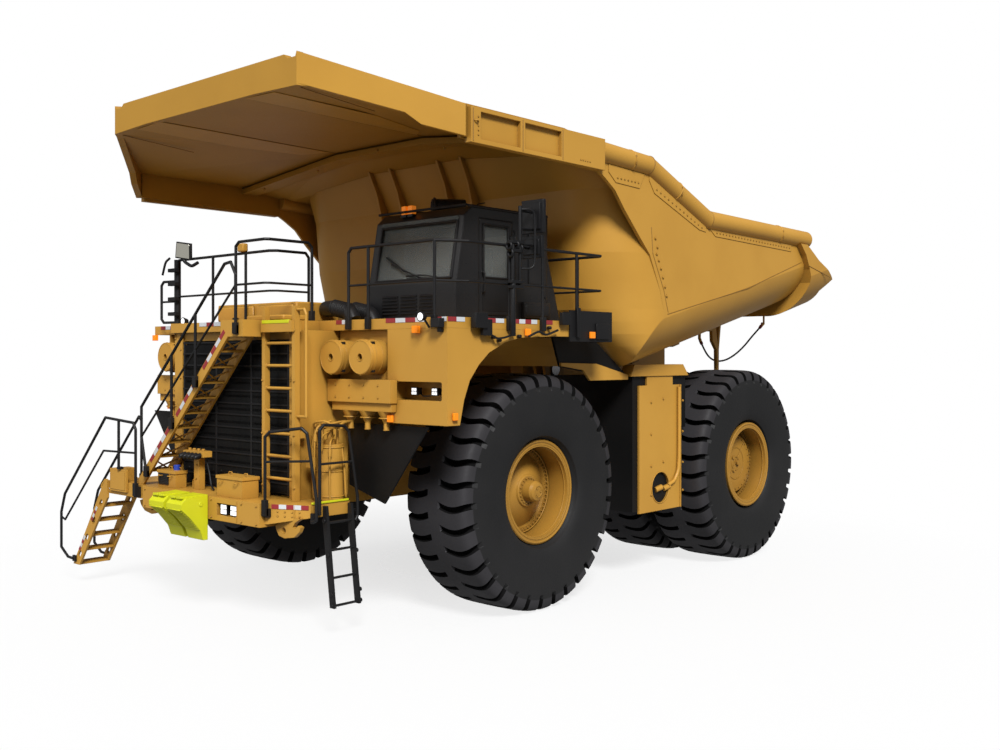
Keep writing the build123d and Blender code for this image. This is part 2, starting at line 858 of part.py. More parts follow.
# ---------------------------------------------------------------- beams under the floor
beam_end_y = pivot_y + 200
beam_side = [
    (2600, beam_bottom_z),
    (pivot_y - 150, beam_bottom_z),
    (beam_end_y, beam_bottom_z + 380),
    (beam_end_y, floor_under(beam_end_y)),
    (2600, floor_under(2600)),
]
lug_in = 350.0
beam_in = rail_in - 15
beams = both(side_plate(beam_in, rail_out, beam_side))
lug_side = [
    (pivot_y - 450, floor_under(pivot_y - 450)),
    (beam_end_y, floor_under(beam_end_y)),
    (pivot_y + 190, pivot_z + 60),
    (pivot_y + 130, pivot_z - 140),
    (pivot_y - 130, pivot_z - 140),
    (pivot_y - 190, pivot_z + 60),
]
lugs = both(side_plate(lug_in, beam_in, lug_side))
body_frame = join([*beams, *lugs])
body_frame = body_frame - bar(
    (-900, pivot_y, pivot_z), (900, pivot_y, pivot_z), pivot_pin_radius + pin_gap,
)
# Floor bolsters across the belly: where each lies along the body.
bolster_half = 110.0
bolster_depth = 110.0
for y in (3000, 4300, 5600):
    y0, y1 = y - bolster_half, y + bolster_half
    body_frame = join([body_frame, sloping_slab([
        (-floor_half, y0, floor_under(y0) - bolster_depth),
        (floor_half, y0, floor_under(y0) - bolster_depth),
        (floor_half, y1, floor_under(y1) - bolster_depth),
        (-floor_half, y1, floor_under(y1) - bolster_depth),
    ], bolster_depth)])
# Bracket plates for the hoist rods, with wide holes for their pins.
bracket_y0 = hoist_top_y - 330
bracket_y1 = hoist_top_y + 330
bracket_side = [
    (bracket_y0, floor_under(bracket_y0)),
    (bracket_y1, floor_under(bracket_y1)),
    (hoist_top_y + 260, hoist_top_z - 80),
    (hoist_top_y + 150, hoist_top_z - 230),
    (hoist_top_y - 150, hoist_top_z - 230),
    (hoist_top_y - 260, hoist_top_z - 80),
]
slot_low_y = hoist_top_y - 0.3 * hoist_drift
slot_low_z = hoist_top_z - 0.9 * hoist_drift
slot_r = bracket_slot_r
for x0 in (hoist_x - bracket_out, hoist_x + bracket_in):
    x1 = x0 + bracket_thick
    plate = side_plate(x0, x1, bracket_side)
    plate = plate - bar((x0 - 50, hoist_top_y, hoist_top_z), (x1 + 50, hoist_top_y, hoist_top_z), slot_r)
    plate = plate - bar((x0 - 50, slot_low_y, slot_low_z), (x1 + 50, slot_low_y, slot_low_z), slot_r)
    plate = plate - side_plate(x0 - 50, x1 + 50, [
        (hoist_top_y - 0.95 * slot_r, hoist_top_z + 0.3 * slot_r),
        (hoist_top_y + 0.95 * slot_r, hoist_top_z - 0.3 * slot_r),
        (slot_low_y + 0.95 * slot_r, slot_low_z - 0.3 * slot_r),
        (slot_low_y - 0.95 * slot_r, slot_low_z + 0.3 * slot_r),
    ])
    body_frame = join([body_frame, *both(plate)])
# Rock ejectors: two arms in a V, down to one bar between the twin tyres.
ejector_x = (rear_inner_x + rear_outer_x) / 2
ejector_half = 35.0
ejector_y = rear_axle_y + 1050
ejector = side_plate(ejector_x - ejector_half, ejector_x + ejector_half, [
    (ejector_y - 230, floor_under(ejector_y - 230)),
    (ejector_y + 190, floor_under(ejector_y + 190)),
    (ejector_y + 60, 3980),
    (ejector_y + 50, 3000),
    (ejector_y - 10, 3000),
    (ejector_y - 30, 3980),
    (ejector_y - 190, 4150),
])
ejector = ejector - side_plate(ejector_x - 200, ejector_x + 200, [
    (ejector_y - 110, floor_under(ejector_y - 110) - 60),
    (ejector_y + 100, floor_under(ejector_y + 100) - 60),
    (ejector_y + 20, 4080),
])
body_frame = join([body_frame, *both(ejector)])
# The box bolster round the tail, from rail to rail under the floor.
ring_depth = 220.0
tail_bolster = belly_prism(top_rail_half, -ring_depth) - belly_prism(0, 0)
tail_bolster = tail_bolster & side_plate(-5000, 5000, [
    (rear_axle_y + 1120, 6035),
    (rear_axle_y + 1340, 5830),
    (rear_axle_y + 1500, 5560),
    (rear_axle_y + 1590, 5300),
    (rear_axle_y + 1540, 4760),
    (rear_axle_y + 1480, 4400),
    (rear_axle_y + 2550, 4400),
    (rear_axle_y + 2550, 4930),
    (rear_axle_y + 2380, 5180),
    (rear_axle_y + 2740, 5430),
    (rear_axle_y + 1900, 5760),
    (rear_axle_y + 1400, 6035),
])
tail_bolster = tail_bolster - top_rail - flip(top_rail) - body_frame - tub

# ---------------------------------------------------------------- retaining cable
# Its route: X, Y behind the rear axle, Z. It hangs free between two fittings.
cable_radius = 18.0
cable_route = [
    (2150, 680, 4100),
    (2150, 820, 3930),
    (2150, 1030, 3790),
    (2160, 1290, 3730),
    (2220, 1560, 3765),
    (2310, 1790, 3890),
    (2420, 1965, 4070),
    (2510, 2115, 4270),
    (2600, 2280, 4450),
]


def corner_radius(a, b, c):
    """The largest arc that leaves a tenth of each shorter run straight."""
    into, out = b - a, c - b
    half_turn = radians(into.get_angle(out)) / 2
    return 0.45 * min(into.length, out.length) / tan(half_turn)


def cord_tube(points, radius):
    edges = []
    start = points[0]
    for a, b, c in zip(points, points[1:], points[2:]):
        reach = 0.45 * min((b - a).length, (c - b).length)
        bend_in = b + (a - b).normalized() * reach
        bend_out = b + (c - b).normalized() * reach
        edges.append(Edge.make_line(start, bend_in))
        edges.append(Edge.make_tangent_arc(bend_in, b - a, bend_out))
        start = bend_out
        print("cord bend radius", round(corner_radius(a, b, c)))
    edges.append(Edge.make_line(start, points[-1]))
    path = Wire(edges)
    section = Plane(origin=points[0], z_dir=points[1] - points[0]) * Circle(radius)
    tube = sweep(section, path=path)
    print("cord volume", round(tube.volume), "by length", round(3.14159265 * radius ** 2 * path.length))
    print("cord length", round(path.length))
    return tube


cable_points = [Vector(x, rear_axle_y + y, z) for x, y, z in cable_route]
save("retaining_cable", cord_tube(cable_points, cable_radius))
socket_radius = 28.0
socket_length = 130.0
first, second = cable_points[0], cable_points[1]
last, before = cable_points[-1], cable_points[-2]
front_socket_end = first + (first - second).normalized() * socket_length
rear_socket_end = last + (last - before).normalized() * socket_length
hanger_top = (front_socket_end.X, front_socket_end.Y, floor_under(front_socket_end.Y) + 20)
front_fitting = join([
    bar(tuple(first), tuple(front_socket_end), socket_radius),
    bar((front_socket_end.X, front_socket_end.Y, front_socket_end.Z - 10), hanger_top, 30),
])
link_top = (rear_socket_end.X, rear_socket_end.Y, floor_under(rear_socket_end.Y) - ring_depth / 2)
rear_fitting = join([
    bar(tuple(last), tuple(rear_socket_end), socket_radius),
    bar((rear_socket_end.X, rear_socket_end.Y, rear_socket_end.Z - 10), link_top, 20),
])
front_fitting = front_fitting - tub
rear_fitting = rear_fitting - tub
save("body_beams", join([body_frame, front_fitting]), join([tail_bolster, rear_fitting]))

# ================================================================ front bumper
bumper_rear_y = rail_front_y
bumper = block(-bumper_half, bumper_half, bumper_front_y, bumper_rear_y, bumper_low_z, bumper_top_z)
bumper = bumper - block(
    -bumper_half + bumper_plate,
    bumper_half - bumper_plate,
    bumper_front_y + bumper_plate,
    bumper_rear_y - bumper_plate,
    bumper_low_z + bumper_plate,
    bumper_top_z - bumper_plate,
)
# Lamp recess in the bumper's face.
lamp_depth = 120.0
lamp_x0, lamp_x1, lamp_z0, lamp_z1 = 500.0, 990.0, 1580.0, 1750.0
lamp_recess = block(lamp_x0, lamp_x1, bumper_front_y - 10, bumper_front_y + lamp_depth, lamp_z0, lamp_z1)
lamp_liner = block(
    lamp_x0 - 15, lamp_x1 + 15, bumper_front_y + 10, bumper_front_y + lamp_depth + 15, lamp_z0 - 15,
    lamp_z1 + 15
)
bumper = join([bumper, lamp_liner]) - lamp_recess
# Left wing: a slanted front face, hollow below its walkway.
wing_x0 = bumper_half - 40
wing_rear_y = -2740.0
wing_x1 = 2150.0
wing_corner_x = bumper_half - 10
wing_front_y = -3720.0
wing_side_y = -3420.0
wing_slant = (wing_side_y - wing_front_y) / (wing_x1 - wing_corner_x)
wing_plan = [
    (wing_x0, wing_front_y),
    (wing_corner_x, wing_front_y),
    (wing_x1, wing_side_y),
    (wing_x1, wing_rear_y),
    (wing_x0, wing_rear_y),
]
wing_hollow = [
    (wing_corner_x, wing_front_y + 35),
    (wing_x1 - 30, wing_side_y + 20),
    (wing_x1 - 30, wing_rear_y - 30),
    (wing_corner_x, wing_rear_y - 30),
]
wing_left = flat_plate(bumper_low_z + 40, bumper_top_z, wing_plan)
wing_left = wing_left - flat_plate(bumper_low_z, bumper_top_z - deck_sheet, wing_hollow)
wing_left = wing_left - cross_plate(-3800, wing_rear_y + 40, [
    (wing_x0 - 10, bumper_low_z),
    (2300, bumper_low_z),
    (2300, 1680),
    (1560, bumper_low_z + 40),
    (wing_x0 - 10, bumper_low_z + 40),
])
# Right platform, at the head of the boarding stair.
platform_x0 = -2620.0
platform_front_y = -3760.0
platform_low_z = 1620.0
wing_right = block(platform_x0, -wing_x0, platform_front_y, wing_rear_y, platform_low_z, bumper_top_z)
wing_right = wing_right - block(
    platform_x0 + 30, -bumper_half - 10, platform_front_y + 30, wing_rear_y - 30, bumper_low_z,
    bumper_top_z - deck_sheet
)
walkway = block(
    -wing_x0 - 10, wing_x0 + 10, bumper_rear_y - 10, -3100, bumper_top_z - deck_sheet, bumper_top_z,
)
# Tow hooks: a web inside the wing that ends in a hook below it.
hook = cross_plate(tow_y - 30, tow_y + 30, [
    (wing_x0 + 20, bumper_top_z - 15),
    (1940, bumper_top_z - 15),
    (1940, 1640),
    (2060, 1640),
    (1950, 1580),
    (1900, 1520),
    (1940, 1490),
    (2020, 1550),
    (2080, 1530),
    (2040, 1460),
    (1930, 1380),
    (1720, 1345),
    (1590, 1370),
    (1530, 1450),
    (wing_x0 + 20, 1560),
])
hook = hook - bar((tow_x, tow_y - 40, tow_z), (tow_x, tow_y + 40, tow_z), tow_hole_r)
save("front_bumper", join([bumper, walkway, wing_left, wing_right, hook, flip(hook)]))

# ================================================================ grille and posts
grille = block(-grille_half, grille_half, grille_front_y + 70, -2800, grille_low_z, grille_top_z)
slats = []
slat_count = 11
slat_pitch = (grille_top_z - grille_low_z - 60) / slat_count
for i in range(slat_count):
    z = grille_low_z + 40 + i * slat_pitch
    slats.append(
        block(-grille_half, grille_half, grille_front_y, grille_front_y + 71, z, z + slat_pitch - 40),
    )
save("radiator_grille", join([grille, *slats]))

post = block(
    grille_half, grille_half + post_width, grille_front_y - 20, -2300, grille_low_z - 10, deck_low_z,
)
header = block(-grille_half - 10, grille_half + 10, grille_front_y + 20, -2780, grille_top_z, deck_low_z)
save("radiator_surround", join([*both(post), header]))

# ================================================================ decks and fenders
# Deck plates: x0, x1, y0, y1.
deck_plates = [
    (1240, left_deck_x, left_deck_front_y, deck_rear_y),
    (-1620, 1260, middle_deck_front_y, 300),
    (right_deck_x, -1600, right_deck_front_y, 300),
]
deck = []
for x0, x1, y0, y1 in deck_plates:
    tray = block(x0, x1, y0, y1, deck_low_z, deck_top_z)
    tray = tray - block(
        x0 + deck_sheet, x1 - deck_sheet, y0 + deck_sheet, y1 - deck_sheet, deck_low_z - 5,
        deck_top_z - deck_sheet
    )
    deck.append(tray)
deck_leg = block(rail_in + 20, rail_out - 20, 60, 200, strut_beam_z1, deck_top_z - 20)
save("upper_deck", join([*deck, *both(deck_leg)]))
# Black box on the left deck's rear corner.
corner_box = block(3500, left_deck_x - 5, 350, deck_rear_y - 5, deck_top_z, deck_top_z + 160)
corner_skin = block(
    left_deck_x, left_deck_x + 25, -20, deck_rear_y + 80, deck_top_z - 300, deck_top_z + 160,
)
corner_back = block(
    3500, left_deck_x + 25, deck_rear_y + 55, deck_rear_y + 80, deck_top_z - 300, deck_top_z + 160,
)
corner_top = block(3500, left_deck_x + 25, 350, deck_rear_y + 80, deck_top_z + 140, deck_top_z + 160)
save("deck_box", join([corner_box, corner_skin, corner_back, corner_top]))

fender_low_z = 2930.0
fender_sheet = 30.0
fender_arch_z = deck_low_z - 80   # top of the wheel arch
fender_side = [
    (left_deck_front_y, fender_low_z),
    (-2330, fender_low_z),
    (-2250, 3260),
    (-2140, 3520),
    (-1960, 3730),
    (-1760, 3890),
    (-1440, 4030),
    (-1120, 4100),
    (-340, fender_arch_z),
    (deck_rear_y, fender_arch_z),
    (deck_rear_y, deck_low_z),
    (left_deck_front_y, deck_low_z),
]
fender_in = 2750.0
fender_out = left_deck_x
fender_front_y1 = left_deck_front_y + fender_sheet
fender_front = block(fender_in, fender_out, left_deck_front_y, fender_front_y1, fender_low_z, deck_low_z)
head_recess = block(2830, 3800, left_deck_front_y - 5, -2300, 3250, 3500)
head_recess = fillet(head_recess.edges().filter_by(Axis.Y), 30)
head_box = block(2800, 3830, left_deck_front_y, -2270, 3220, 3530) - head_recess
fender_front = (fender_front - head_recess) + head_box
side_skin = side_plate(fender_out - fender_sheet, fender_out, fender_side)
fender_left = join(
    [side_skin, fender_front, side_plate(fender_in, fender_in + fender_sheet, fender_side)],
)
fender_right = side_plate(-fender_in - fender_sheet, -fender_in, [
    (right_deck_front_y, 3560),
    (-2000, 3590),
    (-1500, 3950),
    (-900, 4040),
    (300, 4040),
    (300, deck_low_z),
    (right_deck_front_y, deck_low_z),
])
save("fenders", fender_left, fender_right)

# Air cleaners: two canisters, the box below them and its three dust cups.
can_radius = 240.0
can_front_y = -2830.0
can_rear_y = -2150.0
can_z = 3830.0
hopper_x0 = 1620.0
hopper_x1 = 2950.0
hopper_front_y = -2700.0
hopper_low_z = 3200.0
cup_y = -2550.0
cup_outlet_r = 40.0
cleaner_pieces = [block(hopper_x0 + 20, hopper_x1, -2480, -2330, hopper_low_z - 10, deck_low_z)]
for x in (1855, 2480):
    can = bar((x, can_front_y, can_z), (x, can_rear_y, can_z), can_radius)
    can = can - bar((x, can_front_y - 5, can_z), (x, can_front_y + 165, can_z), 50)
    cleaner_pieces.append(can)
cleaner_pieces.append(block(hopper_x0, hopper_x1, hopper_front_y, -2300, hopper_low_z, 3520))
cleaner_pieces.append(
    block(hopper_x0 + 60, hopper_x1 - 20, hopper_front_y + 40, -2440, hopper_low_z - 120, hopper_low_z + 10),
)
for x in (1960, 2320, 2710):
    cleaner_pieces.append(Pos(x, cup_y, hopper_low_z - 200) * Cone(cup_outlet_r, 125, 170))
    cleaner_pieces.append(bar((x, cup_y, 2815), (x, cup_y, hopper_low_z - 270), cup_outlet_r))
cleaners = join(cleaner_pieces)
cleaners = cleaners - block(
    fender_in - 5, 3100, left_deck_front_y - 5, -2000, fender_low_z - 200, deck_low_z + 100,
)
save("air_cleaners", cleaners, flip(cleaners))

# ================================================================ cab
sill_y = cab_front_y - 130
screen_low_z = deck_top_z + 540
screen_top_z = deck_top_z + 1500
screen_lean = 0.177           # how far the windscreen leans back for each unit up
cab_side = [
    (sill_y, deck_top_z),
    (sill_y, screen_low_z),
    (sill_y + screen_lean * (screen_top_z - screen_low_z), screen_top_z),
    (cab_front_y + 200, cab_top_z),
    (cab_rear_y, cab_top_z),
    (cab_rear_y, deck_top_z),
]
t = cab_wall
cab_inside = [
    (sill_y + t, deck_top_z + t),
    (sill_y + t, screen_low_z),
    (sill_y + t + screen_lean * (screen_top_z - 30 - screen_low_z), screen_top_z - 30),
    (cab_front_y + 220, cab_top_z - t),
    (cab_rear_y - t, cab_top_z - t),
    (cab_rear_y - t, deck_top_z + t),
]
shell = side_plate(cab_x0, cab_x1, cab_side) - side_plate(cab_x0 + t, cab_x1 - t, cab_inside)
screen_x0 = cab_x0 + 140
screen_x1 = cab_x1 - 110
glass_low_z = deck_top_z + 600
glass_top_z = deck_top_z + 1420
side_window_y0 = -20.0
side_window_y1 = cab_rear_y - 80
right_window_y0 = cab_front_y + 250
openings = [
    block(screen_x0, screen_x1, cab_front_y - 300, cab_front_y + 150, glass_low_z, glass_top_z),
    block(cab_x1 - 100, cab_x1 + 50, side_window_y0, side_window_y1, window_low_z, window_top_z),
    block(
        cab_x1 - 100, cab_x1 + 50, door_y0 - part_gap, door_y1 + part_gap, door_z0 - part_gap,
        door_z1 + part_gap
    ),
    block(cab_x0 - 50, cab_x0 + 100, right_window_y0, cab_rear_y - 100, window_low_z, window_top_z),
    block(screen_x0, cab_x1 - 150, cab_rear_y - 100, cab_rear_y + 50, window_low_z + 60, window_top_z),
]
for opening in openings:
    shell = shell - opening
# Hinge posts beside the door: a rod outside the shell, held at both ends.
hinge_x = cab_x1 + 32
hinge_y = door_y1 + 30
hinge_r = 12.0
hinge_low_z = door_z0 + 180
hinge_high_z = door_z1 - 180
hinges = [bar((hinge_x, hinge_y, hinge_low_z - 60), (hinge_x, hinge_y, hinge_high_z + 60), hinge_r)]
for z in (hinge_low_z - 50, hinge_high_z + 50):
    hinges.append(block(cab_x1 - 10, hinge_x + 5, hinge_y - 10, hinge_y + 10, z - 8, z + 8))
save("cab_shell", join([shell, *hinges]))

g = glass_thick
mid = t / 2
screen_y = sill_y + mid + screen_lean * (glass_low_z - screen_low_z)
screen_rise = screen_lean * (glass_top_z - glass_low_z)
glass = [
    side_plate(screen_x0, screen_x1, [
        (screen_y, glass_low_z),
        (screen_y + g, glass_low_z),
        (screen_y + screen_rise + g, glass_top_z),
        (screen_y + screen_rise, glass_top_z),
    ]),
    block(
        cab_x1 - mid - g / 2, cab_x1 - mid + g / 2, side_window_y0, side_window_y1, window_low_z,
        window_top_z,
    ),
    block(
        cab_x0 + mid - g / 2, cab_x0 + mid + g / 2, right_window_y0, cab_rear_y - 100, window_low_z,
        window_top_z
    ),
    block(
        screen_x0, cab_x1 - 150, cab_rear_y - mid - g / 2, cab_rear_y - mid + g / 2, window_low_z + 60,
        window_top_z
    ),
]
save("cab_glass", *glass)

door = block(cab_x1 - t, cab_x1, door_y0, door_y1, door_z0, door_z1)
door_frame = 65.0
door_window = block(
    cab_x1 - 100, cab_x1 + 50, door_y0 + door_frame, door_y1 - door_frame, window_low_z, window_top_z
)
door = door - door_window
handle_x = cab_x1 + 50
handle_y = door_y0 + 60
handle = pipe([
    (cab_x1 - 5, handle_y, door_z0 + 320),
    (handle_x, handle_y, door_z0 + 340),
    (handle_x, handle_y, door_z0 + 610),
    (cab_x1 - 5, handle_y, door_z0 + 630),
], 14)
knuckles = []
for z in (hinge_low_z + 60, hinge_high_z - 60):
    eye = bar((hinge_x, hinge_y, z - 40), (hinge_x, hinge_y, z + 40), hinge_r + 13)
    tongue = block(cab_x1 - 2, hinge_x, door_y1 - 60, door_y1, z - 30, z + 30)
    tongue = tongue + block(cab_x1 + 5, hinge_x, door_y1 - 10, hinge_y, z - 30, z + 30)
    knuckles.append(
        join([eye, tongue]) - bar((hinge_x, hinge_y, z - 60), (hinge_x, hinge_y, z + 60), hinge_r + 2),
    )
save("cab_door", join([door, handle, *knuckles]))
save("door_glass", block(
    cab_x1 - mid - g / 2, cab_x1 - mid + g / 2, door_y0 + door_frame, door_y1 - door_frame, window_low_z,
    window_top_z
))

seats = []
seat_low_z = deck_top_z + t
seat_z = deck_top_z + 400
for x, y in ((2330, -420), (1750, -250)):
    seats.append(join([
        block(x - 180, x + 180, y - 200, y + 180, seat_low_z, seat_z),
        block(x - 250, x + 250, y - 260, y + 240, seat_z, seat_z + 140),
        side_plate(x - 230, x + 230, [
            (y + 130, seat_z + 90),
            (y + 250, seat_z + 90),
            (y + 330, seat_z + 800),
            (y + 220, seat_z + 800),
        ]),
    ]))
save("cab_seats", *seats)

dash_x1 = cab_x1 - t - 120
dash = side_plate(cab_x0 + t, dash_x1, [
    (sill_y + t, deck_top_z + 120),
    (sill_y + t, screen_low_z - 10),
    (cab_front_y + 60, deck_top_z + 580),
    (cab_front_y + 260, deck_top_z + 500),
    (cab_front_y + 200, deck_top_z + 120),
])
driver_x = 2330.0
wheel_at = (driver_x, cab_front_y + 455, deck_top_z + 665)
column = bar((driver_x, cab_front_y + 150, deck_top_z + 340), wheel_at, 40)
wheel_ring = Pos(*wheel_at) * (Rot(-43, 0, 0) * Torus(215, 18))
spoke = Pos(*wheel_at) * (Rot(-43, 0, 0) * Box(420, 40, 20))
dash_foot = block(
    cab_x0 + t, dash_x1, cab_front_y - 60, cab_front_y + 100, deck_top_z + t, deck_top_z + 140,
)
save("dash_console", join([dash, dash_foot, column, wheel_ring, spoke]))

roof_drum_z = cab_top_z + 150
roof_drum = bar((1870, -850, roof_drum_z), (2190, -440, roof_drum_z), 120)
roof_foot = block(1930, 2130, -760, -530, cab_top_z, roof_drum_z - 50)
save("cab_roof_unit", join([roof_drum, roof_foot]))

# ================================================================ stairs and ladders
stair_low = (-1770.0, bumper_top_z)
stair_high = (560.0, deck_top_z - 210)
stair_y0 = -3700.0
stair_y1 = -3250.0
stringer_thick = 40.0


def stringer(y0, y1, low, high, depth):
    return cross_plate(y0, y1, [
        (low[0] - depth, low[1]),
        (low[0] + depth * 0.7, low[1]),
        (high[0] + depth * 0.7, high[1]),
        (high[0] - depth, high[1]),
    ])


stair = [
    stringer(stair_y0, stair_y0 + stringer_thick, stair_low, stair_high, 130),
    stringer(stair_y1 - stringer_thick, stair_y1, stair_low, stair_high, 130),
]
tread_count = 9
for i in range(1, tread_count + 1):
    share = i / (tread_count + 1)
    x = stair_low[0] + (stair_high[0] - stair_low[0]) * share
    z = stair_low[1] + (stair_high[1] - stair_low[1]) * share
    stair.append(block(x - 130, x + 80, stair_y0 + 35, stair_y1 - 35, z - 20, z + 10))
landing = block(440, 985, stair_y0, middle_deck_front_y, deck_top_z - 240, deck_top_z)
landing = landing - block(
    470, 955, stair_y0 + 30, middle_deck_front_y - 30, deck_top_z - 260, deck_top_z - 30,
)
save("diagonal_stairway", join([*stair, landing]))

ladder_y = -3330.0
ladder_left = 1700.0
ladder_right = 1030.0
ladder = [
    block(
        ladder_right - 45, ladder_right + 25, ladder_y - 45, ladder_y + 45, bumper_top_z,
        deck_top_z + 180,
    ),
    block(ladder_left - 25, ladder_left + 45, ladder_y - 45, ladder_y + 45, bumper_top_z, deck_low_z),
]
rung_pitch = 318.0
for i in range(7):
    z = bumper_top_z + 290 + i * rung_pitch
    ladder.append(bar((ladder_right, ladder_y, z), (ladder_left, ladder_y, z), 22))
ladder.append(
    block(
        ladder_right, ladder_left + 40, ladder_y - 100, middle_deck_front_y - 5, deck_low_z - 30,
        deck_top_z - 20,
    ),
)
ladder_foot_y = grille_front_y - 20
ladder.append(block(ladder_left - 60, ladder_left + 40, ladder_y - 45, ladder_foot_y, 2700, 2800))
side_rod = pipe([
    (ladder_left + 40, ladder_y, deck_top_z + 130),
    (ladder_left + 200, ladder_y, deck_top_z + 130),
    (ladder_left + 240, ladder_y, deck_top_z + 60),
    (ladder_left + 240, ladder_y, 3010),
    (ladder_left + 30, ladder_y, 3010),
], 20)
ladder.append(side_rod)
ladder.append(
    block(ladder_left - 25, ladder_left + 45, ladder_y - 45, ladder_y + 45, deck_low_z, deck_top_z + 180),
)
save("vertical_ladder", join(ladder))

# Boarding stair at the right front corner: two pierced stringers, thin treads.
board_foot = (-3700.0, 340.0)
board_head = (-2700.0, 1640.0)
board_y0 = -3800.0
board_y1 = -3250.0
board_thick = 35.0
board_run = Vector(board_head[0] - board_foot[0], 0, board_head[1] - board_foot[1])
board_dir = board_run.normalized()
board_across = Vector(board_dir.Z, 0, -board_dir.X)
slot_half = 35.0
slot_radius = 38.0
stair_boards = []
for y0 in (board_y0, board_y1 - board_thick):
    side = cross_plate(y0, y0 + board_thick, [
        (board_foot[0] - 60, board_foot[1]),
        (board_foot[0] + 150, board_foot[1]),
        (platform_x0, board_head[1] - 90),
        (platform_x0, bumper_top_z - 190),
        (platform_x0, bumper_top_z),
        (platform_x0 - 60, bumper_top_z + 20),
        (board_head[0] - 130, board_head[1] + 20),
    ])
    for i in range(4):
        share = 0.14 + i * 0.235
        centre = Vector(board_foot[0] + 20, 0, board_foot[1]) + board_run * share
        low = centre - board_dir * slot_half
        high = centre + board_dir * slot_half
        corners = [low + board_across * slot_radius, high + board_across * slot_radius,
                   high - board_across * slot_radius, low - board_across * slot_radius]
        side = side - bar((low.X, y0 - 5, low.Z), (low.X, y0 + board_thick + 5, low.Z), slot_radius)
        side = side - bar((high.X, y0 - 5, high.Z), (high.X, y0 + board_thick + 5, high.Z), slot_radius)
        side = side - cross_plate(y0 - 5, y0 + board_thick + 5, [(p.X, p.Z) for p in corners])
    stair_boards.append(side)
for i in range(5):
    share = i / 5
    x = board_foot[0] + board_run.X * share
    z = board_foot[1] + board_run.Z * share
    stair_boards.append(
        block(x - 50, x + 140, board_y0 + board_thick - 5, board_y1 - board_thick + 5, z, z + 40),
    )
head_tie = block(
    platform_x0 - 30, platform_x0, board_y0, board_y1, bumper_top_z - 120, bumper_top_z
)
save("lower_stair", join([*stair_boards, head_tie]))

# Black egress ladder hung from the left wing of the bumper.
egress_x = 2160.0
egress = []
for y in (-3200, -2760):
    egress.append(cross_plate(y - 20, y + 20, [
        (egress_x, bumper_top_z - 30),
        (egress_x + 70, bumper_top_z - 30),
        (egress_x + 240, 430),
        (egress_x + 150, 430),
        (egress_x, 1560),
    ]))
for i in range(4):
    z = 460 + i * 370
    x = egress_x + 205 - (z - 430) * 0.125
    egress.append(bar((x, -3200, z), (x, -2760, z), 18))
save("egress_ladder", join(egress))

# ================================================================ handrails
rail_r = 22.0
thin_rail_r = 17.0
rail_foot_z = deck_low_z + 30   # posts stand against the deck's edge
rail_gap = rail_r + 2.0         # from a deck's face to a post's middle
deck_rail_z = deck_top_z + 1010
deck_mid_z = deck_top_z + 480


def bent(points, radius=rail_r):
    return pipe(points, radius)


def front_cleat(x, y):
    """A short block that ties a post to the deck's front face behind it."""
    return block(x - 12, x + 12, y, y + rail_gap, rail_foot_z, rail_foot_z + 90)


def side_cleat(x, y):
    """A short block that ties a post to the deck's side face."""
    return block(x - rail_gap, x, y - 12, y + 12, rail_foot_z, rail_foot_z + 90)


left_y = left_deck_front_y - rail_gap
left_x = left_deck_x + rail_gap
rail_corner_y = -2190.0       # the corner of the rail is cut off up to here
rear_run_y = 790.0
box_top_z = deck_top_z + 160
left_rail = join([
    bent([
        (1960, left_y, rail_foot_z),
        (1960, left_y, deck_rail_z - 60),
        (2020, left_y, deck_rail_z),
        (3690, left_y, deck_rail_z),
        (left_x, rail_corner_y, deck_rail_z),
        (left_x, rear_run_y - 60, deck_rail_z),
        (left_x - 60, rear_run_y, deck_rail_z),
        (2820, rear_run_y, deck_rail_z),
        (2760, rear_run_y, deck_rail_z - 60),
        (2760, rear_run_y, deck_top_z),
    ]),
    bent([
        (1960, left_y, deck_mid_z),
        (3690, left_y, deck_mid_z),
        (left_x, rail_corner_y, deck_mid_z),
        (left_x, rear_run_y - 60, deck_mid_z),
        (left_x - 60, rear_run_y, deck_mid_z),
        (2760, rear_run_y, deck_mid_z),
    ], thin_rail_r),
    bent([(2380, left_y, rail_foot_z), (2380, left_y, deck_rail_z)]),
    bent([(3690, left_y, rail_foot_z), (3690, left_y, deck_rail_z)]),
    bent([(left_x, -1370, rail_foot_z), (left_x, -1370, deck_rail_z)]),
    bent([(left_x, -650, rail_foot_z), (left_x, -650, deck_rail_z)]),
    bent([(left_x, 140, box_top_z), (left_x, 140, deck_rail_z)]),
    bent([(3440, rear_run_y, deck_top_z), (3440, rear_run_y, deck_rail_z)]),
    front_cleat(1960, left_y),
    front_cleat(2380, left_y),
    front_cleat(3690, left_y),
    side_cleat(left_x, -1370),
    side_cleat(left_x, -650),
])
middle_y = middle_deck_front_y - rail_gap
hoop = join([
    bent([
        (200, middle_y, rail_foot_z),
        (200, middle_y, deck_rail_z + 100),
        (280, middle_y, deck_rail_z + 160),
        (900, middle_y, deck_rail_z + 160),
        (950, middle_y + 60, deck_rail_z + 160),
        (950, -2520, deck_rail_z + 160),
        (950, -2450, deck_rail_z + 90),
        (950, -2450, deck_top_z),
    ]),
    bent([
        (200, middle_y, deck_mid_z + 60),
        (900, middle_y, deck_mid_z + 60),
        (950, middle_y + 60, deck_mid_z + 60),
        (950, -2450, deck_mid_z + 60),
    ], thin_rail_r),
    front_cleat(200, middle_y),
])
front_guard_y = -2680.0
